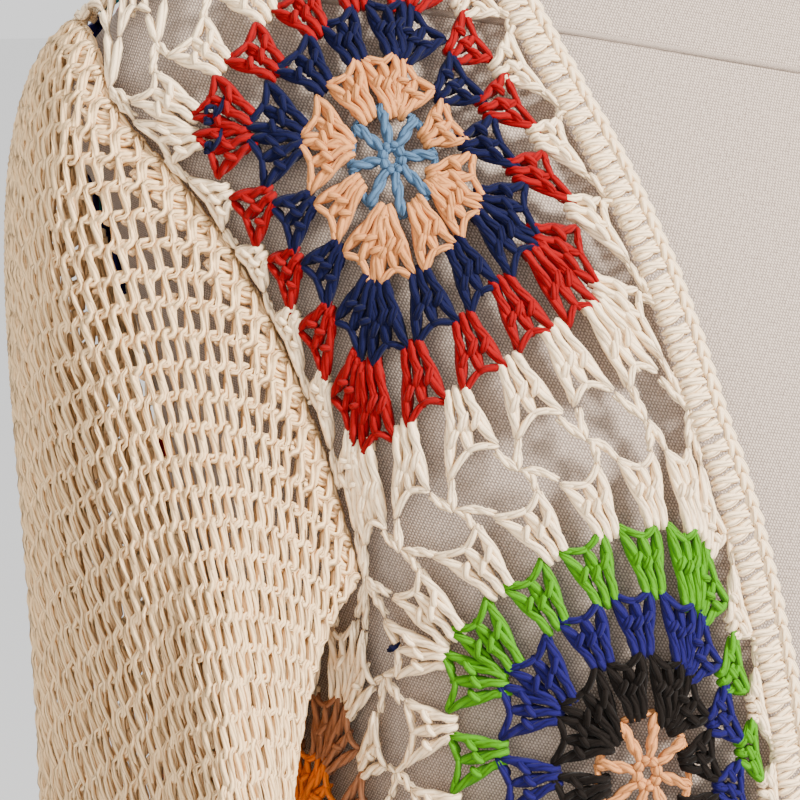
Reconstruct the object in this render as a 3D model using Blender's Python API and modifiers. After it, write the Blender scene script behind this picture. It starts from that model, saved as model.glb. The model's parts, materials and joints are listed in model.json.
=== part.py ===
"""Granny square cardigan on a plain limbless dress form.

The cardigan is twenty-two crochet squares in eight columns and three rows, with two
net sleeves, two cuffs, two front bands, a neck band and a hem band. The top row has no
side squares, which leaves the armholes. Every crochet piece is its own thin wall, laid
at one clearance round the form and hanging straight below the bust. The longest gaps
of the outer round of each square are cut through.

Metres, +Z up. The wearer's front is -Y and the wearer's right is -X. The origin is the
centre of the underside of the stand's base.
"""
import math
from collections import namedtuple

import bmesh
import bpy
import numpy as np
from mathutils import Vector
from mathutils.geometry import delaunay_2d_cdt

# Driving dimensions of the stand
BASE_RADIUS = 0.155
BASE_THICKNESS = 0.008
POLE_RADIUS = 0.014
SEAT_GAP = 0.0003

# Driving dimensions of the cloth
CLEARANCE = 0.0051
WALL = 0.0024
BAND_WIDTH = 0.008
BAND_WALL = 0.0032
SEAM_GAP = 0.0005
HEM_HEIGHT = 0.022
HEM_LINE = 0.950
COLUMNS = 8
UNDERARM_DIP = 0.060
UNDERARM_SPREAD = 0.85
ARM_CURVE = 1.2
FRONT_CURVE = 0.35
CHEST_LINE = 1.266
SHOULDER_TIP = 0.1665
TIP_ANGLE = math.radians(-62)
NECK_SIDE = 0.088
NECK_FRONT_ANGLE = math.radians(-25)
NECK_BACK_ANGLE = math.radians(40)
BACK_BAND_ANGLE = math.radians(5.0) / 0.013
PIVOT_HEIGHT = 1.325

# Sections of the form, from the hip to the neck: half width, depth to the front,
# depth to the back, and the power of the rounded outline
Section = namedtuple("Section", "height half_width front back power")
FORM = [
    Section(0.800, 0.158, 0.105, 0.110, 2.3),
    Section(0.900, 0.155, 0.100, 0.108, 2.3),
    Section(1.000, 0.118, 0.084, 0.086, 2.2),
    Section(1.080, 0.120, 0.098, 0.090, 2.3),
    Section(1.170, 0.130, 0.120, 0.098, 2.5),
    Section(1.240, 0.135, 0.108, 0.102, 2.5),
    Section(1.300, 0.152, 0.084, 0.098, 2.4),
    Section(1.335, 0.166, 0.063, 0.078, 2.2),
    Section(1.356, 0.151, 0.053, 0.063, 2.1),
    Section(1.390, 0.110, 0.050, 0.058, 2.0),
    Section(1.410, 0.070, 0.050, 0.056, 2.0),
    Section(1.450, 0.055, 0.050, 0.054, 2.0),
    Section(1.470, 0.054, 0.050, 0.053, 2.0),
]
# Below the bust the cloth hangs by itself, clear of the waist
HANGING = [
    Section(0.880, 0.167, 0.114, 0.120, 2.3),
    Section(0.950, 0.160, 0.116, 0.116, 2.3),
    Section(1.020, 0.148, 0.120, 0.110, 2.35),
    Section(1.100, 0.139, 0.123, 0.104, 2.4),
]
# The form's own sections hold the cloth from this height up
BUST_HEIGHT = 1.17

# Half the gap between the two front bands, by height
Opening = namedtuple("Opening", "height half_gap")
FRONT_GAP = [
    Opening(0.880, 0.030),
    Opening(1.100, 0.031),
    Opening(1.200, 0.040),
    Opening(1.260, 0.050),
    Opening(1.290, 0.058),
    Opening(1.355, 0.074),
]

# Stations down a hanging sleeve: centre of the flattened tube, its half thickness and
# its half depth from front to back
Sleeve = namedtuple("Sleeve", "height centre_x centre_y half_thick half_depth")
SLEEVE = [
    Sleeve(0.855, 0.1940, -0.006, 0.0180, 0.058),
    Sleeve(0.880, 0.1925, -0.008, 0.0180, 0.059),
    Sleeve(0.950, 0.1850, -0.014, 0.0185, 0.060),
    Sleeve(1.020, 0.1730, -0.020, 0.0185, 0.0605),
    Sleeve(1.100, 0.1625, -0.026, 0.0185, 0.0605),
    Sleeve(1.160, 0.1612, -0.028, 0.0185, 0.0605),
]
SLEEVE_COLUMNS = ("centre_x", "centre_y", "half_thick", "half_depth")
SLEEVE_AROUND = 24
SLEEVE_HANGS_FROM = 1.160
CUFF_TOP = 0.890
CUFF_END = 0.862
ARMHOLE_INSET = 0.0030

# The leading colour of each square by row, from the wearer's right front round the back
COLUMN_NAMES = ["front_right", "side_right", "back_right_outer", "back_right_inner",
                "back_left_inner", "back_left_outer", "side_left", "front_left"]
ROW_NAMES = ["top", "middle", "lower"]
COLOUR_ROWS = [
    ["red", None, "blue", "orange", "green", "plum", None, "teal"],
    ["green", "brown", "red", "gold", "teal", "orange", "blue", "red"],
    ["gold", "blue", "plum", "green", "brown", "red", "green", "orange"],
]
# How far a square's middle has been pulled across and down by its weight, by row and
# column; None is for the others
PULLED = {(0, 0): (0.05, -0.10), (0, 7): (-0.05, -0.10), (1, 0): (-0.32, -0.03),
          None: (0.0, -0.05)}
COLOURS = {
    "red": (0.55, 0.01, 0.01), "green": (0.13, 0.36, 0.03), "brown": (0.30, 0.13, 0.08),
    "orange": (0.70, 0.26, 0.02), "blue": (0.03, 0.04, 0.28), "teal": (0.02, 0.22, 0.24),
    "plum": (0.20, 0.03, 0.14), "gold": (0.62, 0.40, 0.06), "cream": (0.80, 0.72, 0.60),
    "linen": (0.68, 0.61, 0.54), "wood": (0.42, 0.27, 0.15), "metal": (0.30, 0.30, 0.31),
}


def read_table(rows, height, columns):
    """Smooth values between the rows of a table, as cubic Hermite pieces."""
    levels = np.array([row.height for row in rows])
    height = np.clip(height, levels[0], levels[-1])
    index = np.clip(np.searchsorted(levels, height) - 1, 0, len(levels) - 2)
    span = levels[index + 1] - levels[index]
    t = (height - levels[index]) / span
    start, end = 2 * t**3 - 3 * t**2 + 1, -2 * t**3 + 3 * t**2
    leave, arrive = t**3 - 2 * t**2 + t, t**3 - t**2
    values = []
    for name in columns:
        value = np.array([getattr(row, name) for row in rows])
        slope = np.gradient(value, levels)
        values.append(start * value[index] + leave * span * slope[index]
                      + end * value[index + 1] + arrive * span * slope[index + 1])
    return values


SECTION_COLUMNS = ("half_width", "front", "back", "power")
CLOTH = HANGING + [
    Section(row.height + 0.6 * CLEARANCE, row.half_width + CLEARANCE, row.front + CLEARANCE,
            row.back + CLEARANCE, row.power)
    for row in FORM if row.height >= BUST_HEIGHT
]


def outline(rows, height, count=361):
    """One level outline from the front centre round the right side, and its lengths."""
    width, front, back, power = read_table(rows, height, SECTION_COLUMNS)
    turn = np.linspace(0, 2 * math.pi, count)
    side, ahead = np.sin(turn), np.cos(turn)
    depth = np.where(ahead > 0, front, back)
    x = -width * np.sign(side) * np.abs(side)**(2 / power)
    y = -depth * np.sign(ahead) * np.abs(ahead)**(2 / power)
    steps = np.hypot(np.diff(x), np.diff(y))
    return x, y, np.concatenate([[0], np.cumsum(steps)])


def on_outline(height, distance):
    """The point of the cloth at a height, a distance round from the front centre."""
    x, y, length = outline(CLOTH, height)
    distance = distance % length[-1]
    return np.array([np.interp(distance, length, x), np.interp(distance, length, y), height])


def row_height(column, row):
    """Height of the seam under a row, which dips under the arms."""
    dip = sum(math.exp(-((column - arm) / UNDERARM_SPREAD)**2) for arm in (1.5, COLUMNS - 1.5))
    chest = CHEST_LINE - UNDERARM_DIP * dip
    return chest + (HEM_LINE - chest) * (row - 1) / 2


def body_point(column, height, past=0.0):
    """A point of the hanging cloth; past moves it beyond the front edge, over the band."""
    half_gap = read_table(FRONT_GAP, height, ("half_gap",))[0]
    whole = outline(CLOTH, height)[2][-1]
    first = half_gap + BAND_WIDTH
    distance = first + (whole - 2 * first) * column / COLUMNS
    distance += past if column > COLUMNS / 2 else -past
    return on_outline(height, distance)


def outside(points):
    """How far points are past the cloth's outline: below zero is inside."""
    width, front, back, power = read_table(CLOTH, points[..., 2], SECTION_COLUMNS)
    depth = np.where(points[..., 1] < 0, front, back)
    across = np.abs(points[..., 0]) / width
    return across**power + (np.abs(points[..., 1]) / depth)**power - 1


def cast_from_shoulder(x, angle):
    """The cloth's point seen from the shoulder's axis, at an angle from straight up."""
    x, angle = np.broadcast_arrays(np.asarray(x, float), np.asarray(angle, float))
    near, far = np.zeros(x.shape), np.full(x.shape, 0.30)
    for _ in range(40):
        middle = (near + far) / 2
        points = np.stack([x, middle * np.sin(angle), PIVOT_HEIGHT + middle * np.cos(angle)], -1)
        inner = outside(points) < 0
        near, far = np.where(inner, middle, near), np.where(inner, far, middle)
    return np.stack([x, near * np.sin(angle), PIVOT_HEIGHT + near * np.cos(angle)], -1)


def neck_line(share, past=0.0):
    """The right neckline as x and angle, from the shoulder seam to the back centre."""
    back = NECK_BACK_ANGLE - past * BACK_BAND_ANGLE
    side = NECK_SIDE - past
    turn = share * math.pi / 2
    return -side * math.cos(turn), NECK_FRONT_ANGLE + (back - NECK_FRONT_ANGLE) * math.sin(turn)


def shoulder_edge(column, past=0.0):
    """Where a column's line starts: x, and the angle from straight up, back positive."""
    mirrored = min(column, COLUMNS - column)
    sign = 1 if column <= COLUMNS / 2 else -1
    if mirrored > 3:
        x, angle = neck_line(mirrored - 3)
        return sign * x, angle
    out = mirrored if mirrored <= 1 else 3 - mirrored
    x, angle = neck_line(0, past)
    return (sign * (x + (-SHOULDER_TIP - x) * out),
            angle + (TIP_ANGLE - angle) * out**3)


def top_line(column, samples=41, past=0.0):
    """A line down the top row, even in length, from the shoulder to the chest seam."""
    start_x, start_angle = shoulder_edge(column, past)
    foot = body_point(column, row_height(column, 1), past)
    foot_angle = math.atan2(foot[1], foot[2] - PIVOT_HEIGHT)
    t = np.linspace(0, 1, samples)
    arm = max(0, 1 - abs(min(column, COLUMNS - column) - 1.5) / 1.5)
    over = t**(1 + FRONT_CURVE + (ARM_CURVE - FRONT_CURVE) * arm)
    line = cast_from_shoulder(start_x + (foot[0] - start_x) * over,
                              start_angle + (foot_angle - start_angle) * t)
    length = np.concatenate([[0], np.cumsum(np.linalg.norm(np.diff(line, axis=0), axis=1))])
    even = np.linspace(0, length[-1], samples)
    return np.stack([np.interp(even, length, line[:, k]) for k in range(3)], 1)


def square_surface(row, column, steps=20):
    """The middle surface of one square, as a lattice: down it, then across it."""
    lines = []
    for across in np.linspace(column, column + 1, steps + 1):
        if row == 0:
            lines.append(top_line(across, steps + 1))
        else:
            top, foot = row_height(across, row), row_height(across, row + 1)
            lines.append([body_point(across, height)
                          for height in np.linspace(top, foot, steps + 1)])
    return np.array(lines).transpose(1, 0, 2)


def read_lattice(lattice, across, down, pull=(0, 0)):
    """A point of a lattice, pulled off centre; across and down run from -1 to 1."""
    across += pull[0] * (1 - across**2)
    down += pull[1] * (1 - down**2)
    rows, columns = lattice.shape[0] - 1, lattice.shape[1] - 1
    u, v = (across + 1) / 2 * columns, (down + 1) / 2 * rows
    i, j = min(int(u), columns - 1), min(int(v), rows - 1)
    p, q = u - i, v - j
    return ((lattice[j, i] * (1 - p) + lattice[j, i + 1] * p) * (1 - q)
            + (lattice[j + 1, i] * (1 - p) + lattice[j + 1, i + 1] * p) * q)


# The flat pattern of a square, from -1 to 1 each way
TOP_PIECES_ACROSS = 8
SIDE_PIECES_ACROSS = 4
SIDE_PIECES_DOWN = 6
GAP_PLACES = (-0.38, 0.0, 0.38)
GAP_START = 0.73
GAP_END = 0.95
GAP_HALF_ACROSS = 0.095
GAP_HALF_DOWN = 0.060


def square_gaps():
    """The long gaps of the outer round, as four-cornered outlines."""
    middle = (GAP_START + GAP_END) / 2
    gaps = []
    for sign in (-1, 1):
        for place in GAP_PLACES:
            gaps.append([(place, sign * GAP_START), (place + GAP_HALF_ACROSS, sign * middle),
                         (place, sign * GAP_END), (place - GAP_HALF_ACROSS, sign * middle)])
            gaps.append([(sign * GAP_START, place), (sign * middle, place + GAP_HALF_DOWN),
                         (sign * GAP_END, place), (sign * middle, place - GAP_HALF_DOWN)])
    return gaps


def flat_square(inset_across, inset_down, curved):
    """Points and triangles of the flat pattern, with the gaps left open."""
    wide, deep = 1 - inset_across, 1 - inset_down
    down = SIDE_PIECES_DOWN * (2 if curved else 1)
    edge = []
    for k in range(TOP_PIECES_ACROSS):
        edge.append((-wide + 2 * wide * k / TOP_PIECES_ACROSS, -deep))
    for k in range(down):
        edge.append((wide, -deep + 2 * deep * k / down))
    for k in range(SIDE_PIECES_ACROSS):
        edge.append((wide - 2 * wide * k / SIDE_PIECES_ACROSS, deep))
    for k in range(down):
        edge.append((-wide, deep - 2 * deep * k / down))
    points = list(edge)
    links = [(k, (k + 1) % len(edge)) for k in range(len(edge))]
    gaps = square_gaps()
    for gap in gaps:
        first = len(points)
        points += gap
        links += [(first + k, first + (k + 1) % 4) for k in range(4)]
    points += [(a, b) for a in (-0.5, 0.0, 0.5) for b in (-0.62, -0.31, 0.0, 0.31, 0.62)]
    if curved:
        points += [(a, b) for a in (-0.75, -0.25, 0.25, 0.75) for b in (-0.80, -0.46, -0.15, 0.15)]
        points += [(a, -0.84) for a in (-0.60, -0.19, 0.19, 0.60)]
        points += [(a, b) for a in (-0.89, 0.89) for b in (-0.92, -0.77, -0.63, -0.50)]
        points += [(-0.74, -0.63), (0.74, -0.63)]
    flat, _, faces, *_ = delaunay_2d_cdt([Vector(p) for p in points], links, [], 0, 1e-6, False)
    kept = []
    for face in faces:
        a = sum(flat[k].x for k in face) / 3
        b = sum(flat[k].y for k in face) / 3
        if not any(in_gap(a, b, gap) for gap in gaps):
            kept.append(list(face))
    return flat, kept


def in_gap(a, b, gap):
    """Whether a flat point lies in a four-cornered gap."""
    middle_a = sum(p[0] for p in gap) / 4
    middle_b = sum(p[1] for p in gap) / 4
    half_a = max(p[0] for p in gap) - middle_a
    half_b = max(p[1] for p in gap) - middle_b
    return abs(a - middle_a) / half_a + abs(b - middle_b) / half_b < 1


def clear_scene():
    for item in list(bpy.data.objects):
        bpy.data.objects.remove(item, do_unlink=True)


def material(name, colour, roughness):
    made = bpy.data.materials.new(name)
    made.use_nodes = True
    shader = made.node_tree.nodes["Principled BSDF"]
    shader.inputs["Base Color"].default_value = (*colour, 1)
    shader.inputs["Roughness"].default_value = roughness
    return made


def new_object(name, mesh, colour, roughness=0.9):
    made = bpy.data.objects.new(name, mesh)
    made.data.materials.append(material(name, COLOURS[colour], roughness))
    parts.objects.link(made)
    return made


def cloth_object(name, points, faces, colour, wall=WALL):
    """A closed wall from a sheet, half of it either side of the sheet."""
    mesh = bpy.data.meshes.new(name)
    mesh.from_pydata([tuple(p) for p in points], [], faces)
    mesh.validate()
    made = new_object(name, mesh, colour)
    shell = made.modifiers.new("wall", "SOLIDIFY")
    shell.thickness = wall
    shell.offset = 0
    shell.use_even_offset = True
    return made


def facing_out(points, faces, away_from):
    """Turn the faces of a sheet to look away from an axis."""
    first = [points[k] for k in faces[len(faces) // 2]]
    normal = np.cross(first[1] - first[0], first[2] - first[0])
    middle = sum(first) / len(first)
    outward = middle - np.asarray(away_from)
    if np.dot(normal, outward) < 0:
        return [face[::-1] for face in faces]
    return faces


def strip(name, edges, colour, wall, away_from=(0, 0, 1.1), across=1, closed=False):
    """A band of cloth between two matching edge lines."""
    near, far = np.array(edges[0]), np.array(edges[1])
    count = len(near)
    points = [near[k] + (far[k] - near[k]) * m / across
              for k in range(count) for m in range(across + 1)]
    faces = []
    for k in range(count if closed else count - 1):
        here, there = k * (across + 1), (k + 1) % count * (across + 1)
        for m in range(across):
            faces.append([here + m, there + m, there + m + 1, here + m + 1])
    return cloth_object(name, points, facing_out(points, faces, away_from), colour, wall)


def make_squares():
    """The twenty-two squares, each laid on its own part of the cloth's surface."""
    for row, names in enumerate(COLOUR_ROWS):
        for column, colour in enumerate(names):
            if colour is None:
                continue
            lattice = square_surface(row, column)
            width = np.linalg.norm(lattice[10, -1] - lattice[10, 0])
            depth = np.linalg.norm(lattice[-1, 10] - lattice[0, 10])
            flat, faces = flat_square(2 * SEAM_GAP / width, 2 * SEAM_GAP / depth, row == 0)
            pull = PULLED.get((row, column), PULLED[None])
            points = [read_lattice(lattice, p.x, p.y, pull) for p in flat]
            name = f"square_{ROW_NAMES[row]}_{COLUMN_NAMES[column]}"
            cloth_object(name, points, facing_out(points, faces, (0, 0, points[0][2])), colour)


def front_edge(side, past):
    """The front edge of one side, from the hem up to the side of the neck."""
    column = 0 if side < 0 else COLUMNS
    levels = np.linspace(HEM_LINE - HEM_HEIGHT, row_height(column, 1), 13)
    lower = [body_point(column, height, past) for height in levels]
    upper = top_line(column, 11, past)[::-1]
    return lower + list(upper[1:])


NECK_SHARES = (0.125, 0.25, 0.375, 0.5, 0.625, 0.75, 0.875, 1.0)
NECK_BAND_LIFT = 0.0015


def neck_band_point(share, past):
    """A point of the neck band, lifted a little off the curve of the form's neck."""
    x, angle = neck_line(share, past)
    lift = np.array([0, math.sin(angle), math.cos(angle)]) * NECK_BAND_LIFT
    return cast_from_shoulder(x, angle) + lift


def make_bands():
    """One band up both fronts and round the neck, and one round the hem."""
    edges = []
    for past in (2 * SEAM_GAP, BAND_WIDTH):
        neck = [neck_band_point(share, past) for share in NECK_SHARES]
        back = [point * (-1, 1, 1) for point in neck[-2::-1]]
        edges.append(front_edge(-1, past) + neck + back + front_edge(1, past)[::-1])
    strip("band_front_and_neck", edges, "cream", BAND_WALL)
    columns = np.linspace(0, COLUMNS, 41)
    top = [body_point(c, HEM_LINE - 2 * SEAM_GAP) for c in columns]
    foot = [body_point(c, HEM_LINE - HEM_HEIGHT) for c in columns]
    strip("band_hem", (top, foot), "cream", BAND_WALL)


def armhole(side):
    """The edge of an armhole, from the shoulder tip forward, under the arm and back."""
    def at(column):
        return column if side < 0 else COLUMNS - column
    front = top_line(at(1), 25)
    under = [body_point(at(c), row_height(at(c), 1)) for c in np.linspace(1, 2, 13)]
    back = top_line(at(2), 25)[::-1]
    loop = np.array(list(front) + under[1:-1] + list(back[:-1]))
    ends = np.vstack([loop, loop[:1]])
    length = np.concatenate([[0], np.cumsum(np.linalg.norm(np.diff(ends, axis=0), axis=1))])
    even = np.linspace(0, length[-1], SLEEVE_AROUND, endpoint=False)
    return np.stack([np.interp(even, length, ends[:, k]) for k in range(3)], 1)


def sleeve_ring(side, height):
    """A level ring of the hanging sleeve, starting at its outer side."""
    centre_x, centre_y, thick, depth = read_table(SLEEVE, height, SLEEVE_COLUMNS)
    turn = np.arange(SLEEVE_AROUND) / SLEEVE_AROUND * 2 * math.pi
    out = np.sign(np.cos(turn)) * np.abs(np.cos(turn))**0.85
    ahead = np.sign(np.sin(turn)) * np.abs(np.sin(turn))**0.85
    return np.stack([side * (centre_x + thick * out), centre_y - depth * ahead,
                     np.full(turn.shape, height)], 1)


def make_sleeve(side, name):
    """A net sleeve from the armhole over the shoulder and down, with its cuff."""
    loop = armhole(side)
    centre = loop.mean(0)
    inward = centre - loop
    inward /= np.linalg.norm(inward, axis=1)[:, None]
    start = loop + inward * ARMHOLE_INSET + np.array([side * 0.0012, 0, 0])
    end = sleeve_ring(side, SLEEVE_HANGS_FROM)
    reach = np.linalg.norm(end - start, axis=1)[:, None]
    leave = np.array([side * 0.9, 0, 0.05]) * reach * 0.75
    arrive = np.array([0, 0, -1.0]) * reach * 1.1
    rings = []
    for t in np.linspace(0, 1, 8):
        rings.append(start * (2 * t**3 - 3 * t**2 + 1) + leave * (t**3 - 2 * t**2 + t)
                     + end * (3 * t**2 - 2 * t**3) + arrive * (t**3 - t**2))
    for height in np.linspace(SLEEVE_HANGS_FROM, CUFF_TOP, 7)[1:]:
        rings.append(sleeve_ring(side, height))
    tube(f"sleeve_{name}", rings, side)
    cuff = [sleeve_ring(side, CUFF_TOP - 2 * SEAM_GAP), sleeve_ring(side, CUFF_END)]
    tube(f"cuff_{name}", cuff, side)


def tube(name, rings, side):
    """A tube of cloth from matching rings, open at both ends."""
    points = [p for ring in rings for p in ring]
    faces = []
    for level in range(len(rings) - 1):
        for k in range(SLEEVE_AROUND):
            here, there = level * SLEEVE_AROUND, (level + 1) * SLEEVE_AROUND
            n = (k + 1) % SLEEVE_AROUND
            faces.append([here + k, here + n, there + n, there + k])
    if side > 0:
        faces = [face[::-1] for face in faces]
    return cloth_object(name, points, faces, "cream")


def make_torso(around=32):
    """The form's body in one piece, from the hip to the top of the neck."""
    levels = [0.80, 0.85, 0.90, 0.95, 1.0, 1.05, 1.10, 1.15, 1.20, 1.25, 1.28, 1.305, 1.325,
              1.34, 1.355, 1.37, 1.38, 1.39, 1.40, 1.41, 1.42, 1.435, 1.45, 1.47]
    work = bmesh.new()
    turn = np.arange(around) / around * 2 * math.pi
    rings = []
    for height in levels:
        width, front, back, power = read_table(FORM, height, SECTION_COLUMNS)
        ring = []
        for angle in turn:
            side, ahead = math.sin(angle), math.cos(angle)
            depth = front if ahead > 0 else back
            x = -width * math.copysign(abs(side)**(2 / power), side)
            y = -depth * math.copysign(abs(ahead)**(2 / power), ahead)
            ring.append(work.verts.new((x, y, height)))
        rings.append(ring)
    for low, high in zip(rings, rings[1:]):
        for k in range(around):
            n = (k + 1) % around
            work.faces.new((low[k], low[n], high[n], high[k]))
    work.faces.new(rings[0])
    work.faces.new(rings[-1])
    bmesh.ops.recalc_face_normals(work, faces=work.faces)
    mesh = bpy.data.meshes.new("form_torso")
    work.to_mesh(mesh)
    work.free()
    return new_object("form_torso", mesh, "linen")


def turned(name, profile, colour, roughness, segments=40):
    """A solid turned on the Z axis from radii and heights, the ends on the axis."""
    mesh = bpy.data.meshes.new(name)
    points = [(radius, 0, height) for radius, height in profile]
    mesh.from_pydata(points, [(k, k + 1) for k in range(len(points) - 1)], [])
    made = new_object(name, mesh, colour, roughness)
    screw = made.modifiers.new("turn", "SCREW")
    screw.steps = screw.render_steps = segments
    screw.use_merge_vertices = True
    screw.merge_threshold = 0.00001
    screw.use_normal_flip = True
    return made


def make_stand():
    """Base, pole and collar under the form, and a cap on its neck."""
    top = BASE_THICKNESS
    rim = BASE_RADIUS
    turned("stand_base", [(0, 0), (rim - 0.001, 0), (rim, 0.001), (rim, top - 0.003),
                          (rim - 0.003, top), (0, top)], "metal", 0.5, 48)
    hip = FORM[0].height
    collar = 0.012
    turned("stand_pole", [(0, top + SEAT_GAP), (POLE_RADIUS, top + SEAT_GAP),
                          (POLE_RADIUS, hip - collar - 2 * SEAT_GAP),
                          (0, hip - collar - 2 * SEAT_GAP)], "metal", 0.4, 28)
    turned("stand_collar", [(0, hip - collar - SEAT_GAP), (0.045, hip - collar - SEAT_GAP),
                            (0.045, hip - SEAT_GAP), (0, hip - SEAT_GAP)], "wood", 0.6, 32)
    neck = FORM[-1].height + SEAT_GAP
    turned("neck_cap", [(0, neck), (0.046, neck), (0.048, neck + 0.002), (0.048, neck + 0.009),
                        (0.045, neck + 0.012), (0, neck + 0.014)], "wood", 0.5, 36)


clear_scene()
parts = bpy.data.collections.new("Granny square cardigan on a dress form")
bpy.context.scene.collection.children.link(parts)
make_torso()
make_stand()
make_squares()
make_bands()
make_sleeve(-1, "right")
make_sleeve(1, "left")
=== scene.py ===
# %% [markdown]
# # Granny square cardigan on a dress form
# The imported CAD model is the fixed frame: thin walls for every crochet piece, laid over
# a limbless form. Here each wall is replaced by real crochet: every strand of yarn is a
# round thread, drawn flat on its square and then laid on the same curved surface.

# %% Load the frame
import json
import math
from collections import namedtuple

import bmesh
import bpy
import numpy as np
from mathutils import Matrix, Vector


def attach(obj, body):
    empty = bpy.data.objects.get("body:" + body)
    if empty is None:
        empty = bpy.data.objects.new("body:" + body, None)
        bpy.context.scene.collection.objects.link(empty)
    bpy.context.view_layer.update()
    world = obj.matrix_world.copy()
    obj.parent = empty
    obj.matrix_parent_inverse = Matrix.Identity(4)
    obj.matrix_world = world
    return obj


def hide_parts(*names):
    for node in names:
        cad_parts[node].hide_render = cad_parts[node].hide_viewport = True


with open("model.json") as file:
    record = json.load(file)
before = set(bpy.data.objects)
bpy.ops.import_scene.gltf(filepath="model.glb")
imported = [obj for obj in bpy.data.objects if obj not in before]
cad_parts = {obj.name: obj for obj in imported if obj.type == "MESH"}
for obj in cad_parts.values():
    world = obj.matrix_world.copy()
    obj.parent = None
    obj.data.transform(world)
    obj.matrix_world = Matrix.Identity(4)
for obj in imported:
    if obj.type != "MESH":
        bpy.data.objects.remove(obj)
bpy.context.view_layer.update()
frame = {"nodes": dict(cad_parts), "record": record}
rng = np.random.default_rng(7)
MM = 0.001

# %% [markdown]
# ## Camera
# The photo looks down a little at the wearer's right front, from close by. A camera can be
# turned by three angles. Here a direction from the cloth back to the lens says the same in
# two, and the lens follows from the width of cloth that the picture shows.

# %% Camera
SENSOR_WIDTH = 36
PICTURE_WIDTH = 800
PIXELS_PER_METRE = 4200
VIEW_TURN = math.radians(-28)
VIEW_DOWN = math.radians(10)
VIEW_DISTANCE = 0.60
VIEW_CENTRE = Vector((-0.107, -0.052, 1.262))
VIEW_WIDTH = PICTURE_WIDTH / PIXELS_PER_METRE

back = Vector((math.sin(VIEW_TURN) * math.cos(VIEW_DOWN),
               -math.cos(VIEW_TURN) * math.cos(VIEW_DOWN), math.sin(VIEW_DOWN)))
camera_data = bpy.data.cameras.new("photo_camera")
camera_data.sensor_width = SENSOR_WIDTH
camera_data.lens = SENSOR_WIDTH * VIEW_DISTANCE / VIEW_WIDTH
camera_data.clip_start = 0.05
print(f"lens {camera_data.lens:.0f} mm, {VIEW_WIDTH * 1000:.0f} mm of cloth across the picture")
camera = bpy.data.objects.new("photo_camera", camera_data)
camera.location = VIEW_CENTRE + back * VIEW_DISTANCE
camera.rotation_mode = "QUATERNION"
camera.rotation_quaternion = back.to_track_quat("Z", "Y")
bpy.context.scene.collection.objects.link(camera)
bpy.context.scene.camera = camera

# %% [markdown]
# ## Light
# The photo seems lit from the upper right, in a pale room. A sun would give hard shadows and a
# picture of a room needs a file, so area lights are used: a small bright one for the short
# shadows between strands, a wide weak one for the sleeve's side, and one from behind that
# parts the shoulders from the backdrop. A pale world does what the walls do.


# %% Lights
def area_light(name, place, aim, size, power, colour):
    """A square lamp that faces a place."""
    light = bpy.data.lights.new(name, "AREA")
    light.size, light.energy, light.color = size, power, colour
    lamp = bpy.data.objects.new(name, light)
    lamp.location = place
    lamp.rotation_euler = (Vector(place) - Vector(aim)).to_track_quat("Z", "Y").to_euler()
    bpy.context.scene.collection.objects.link(lamp)
    print(f"{name} light: {power} W, {size} m wide")


chest = (-0.05, -0.05, 1.25)
area_light("key", (0.75, -1.5, 2.35), chest, 0.5, 150, (1.0, 0.95, 0.89))
area_light("fill", (-1.6, -1.3, 1.5), chest, 1.4, 20, (1.0, 0.91, 0.80))
area_light("rim", (0.2, 1.5, 2.3), chest, 1.2, 18, (1.0, 1.0, 1.0))

# %% Room light
WALL_GREY = 0.84
ROOM_STRENGTH = 1.5
world = bpy.data.worlds.new("studio")
world.use_nodes = True
room = world.node_tree.nodes["Background"]
room.inputs["Color"].default_value = (WALL_GREY, WALL_GREY, WALL_GREY, 1)
room.inputs["Strength"].default_value = ROOM_STRENGTH
bpy.context.scene.world = world

# %% [markdown]
# ## Floor
# The stand needs something to stand on, and a paper sweep has no edge in the picture. One
# plane that reaches far past the view does the same. It is staging, not a piece of the
# object.

# %% Floor
FLOOR = 40.0
floor_mesh = bpy.data.meshes.new("floor")
floor_mesh.from_pydata([(-FLOOR, -FLOOR, 0), (FLOOR, -FLOOR, 0), (FLOOR, FLOOR, 0),
                        (-FLOOR, FLOOR, 0)], [], [(0, 1, 2, 3)])
floor = bpy.data.objects.new("floor", floor_mesh)
bpy.context.scene.collection.objects.link(floor)
print(f"floor {2 * FLOOR:.0f} m wide")

# %% [markdown]
# ## Materials
# Every finish here is a small net of nodes. A few helpers add a shader, a sum, a bump or a
# mix of two colours in one line each, so that a material below reads like a recipe.


# %% Node helpers
def new_material(name, colour, roughness):
    """A material with its node tree and its shader."""
    made = bpy.data.materials.new(name)
    made.use_nodes = True
    shader = made.node_tree.nodes["Principled BSDF"]
    shader.inputs["Base Color"].default_value = (*colour, 1)
    shader.inputs["Roughness"].default_value = roughness
    return made, made.node_tree, shader


def maths(tree, operation, first, second=None):
    """The output of a Math node; each input is a number or another output."""
    node = tree.nodes.new("ShaderNodeMath")
    node.operation = operation
    for socket, value in zip(node.inputs, (first, second)):
        if value is None:
            continue
        if isinstance(value, (int, float)):
            socket.default_value = value
        else:
            tree.links.new(value, socket)
    return node.outputs[0]


def split_uv(tree):
    """The piece's UV as a whole, and its two parts."""
    uv = tree.nodes.new("ShaderNodeUVMap")
    split = tree.nodes.new("ShaderNodeSeparateXYZ")
    tree.links.new(uv.outputs[0], split.inputs[0])
    return uv.outputs[0], split.outputs[0], split.outputs[1]


def bump_to(tree, shader, height, strength, distance):
    """Raise the surface by a height, for the light only."""
    bump = tree.nodes.new("ShaderNodeBump")
    bump.inputs["Strength"].default_value = strength
    bump.inputs["Distance"].default_value = distance
    tree.links.new(height, bump.inputs["Height"])
    tree.links.new(bump.outputs[0], shader.inputs["Normal"])


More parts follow.
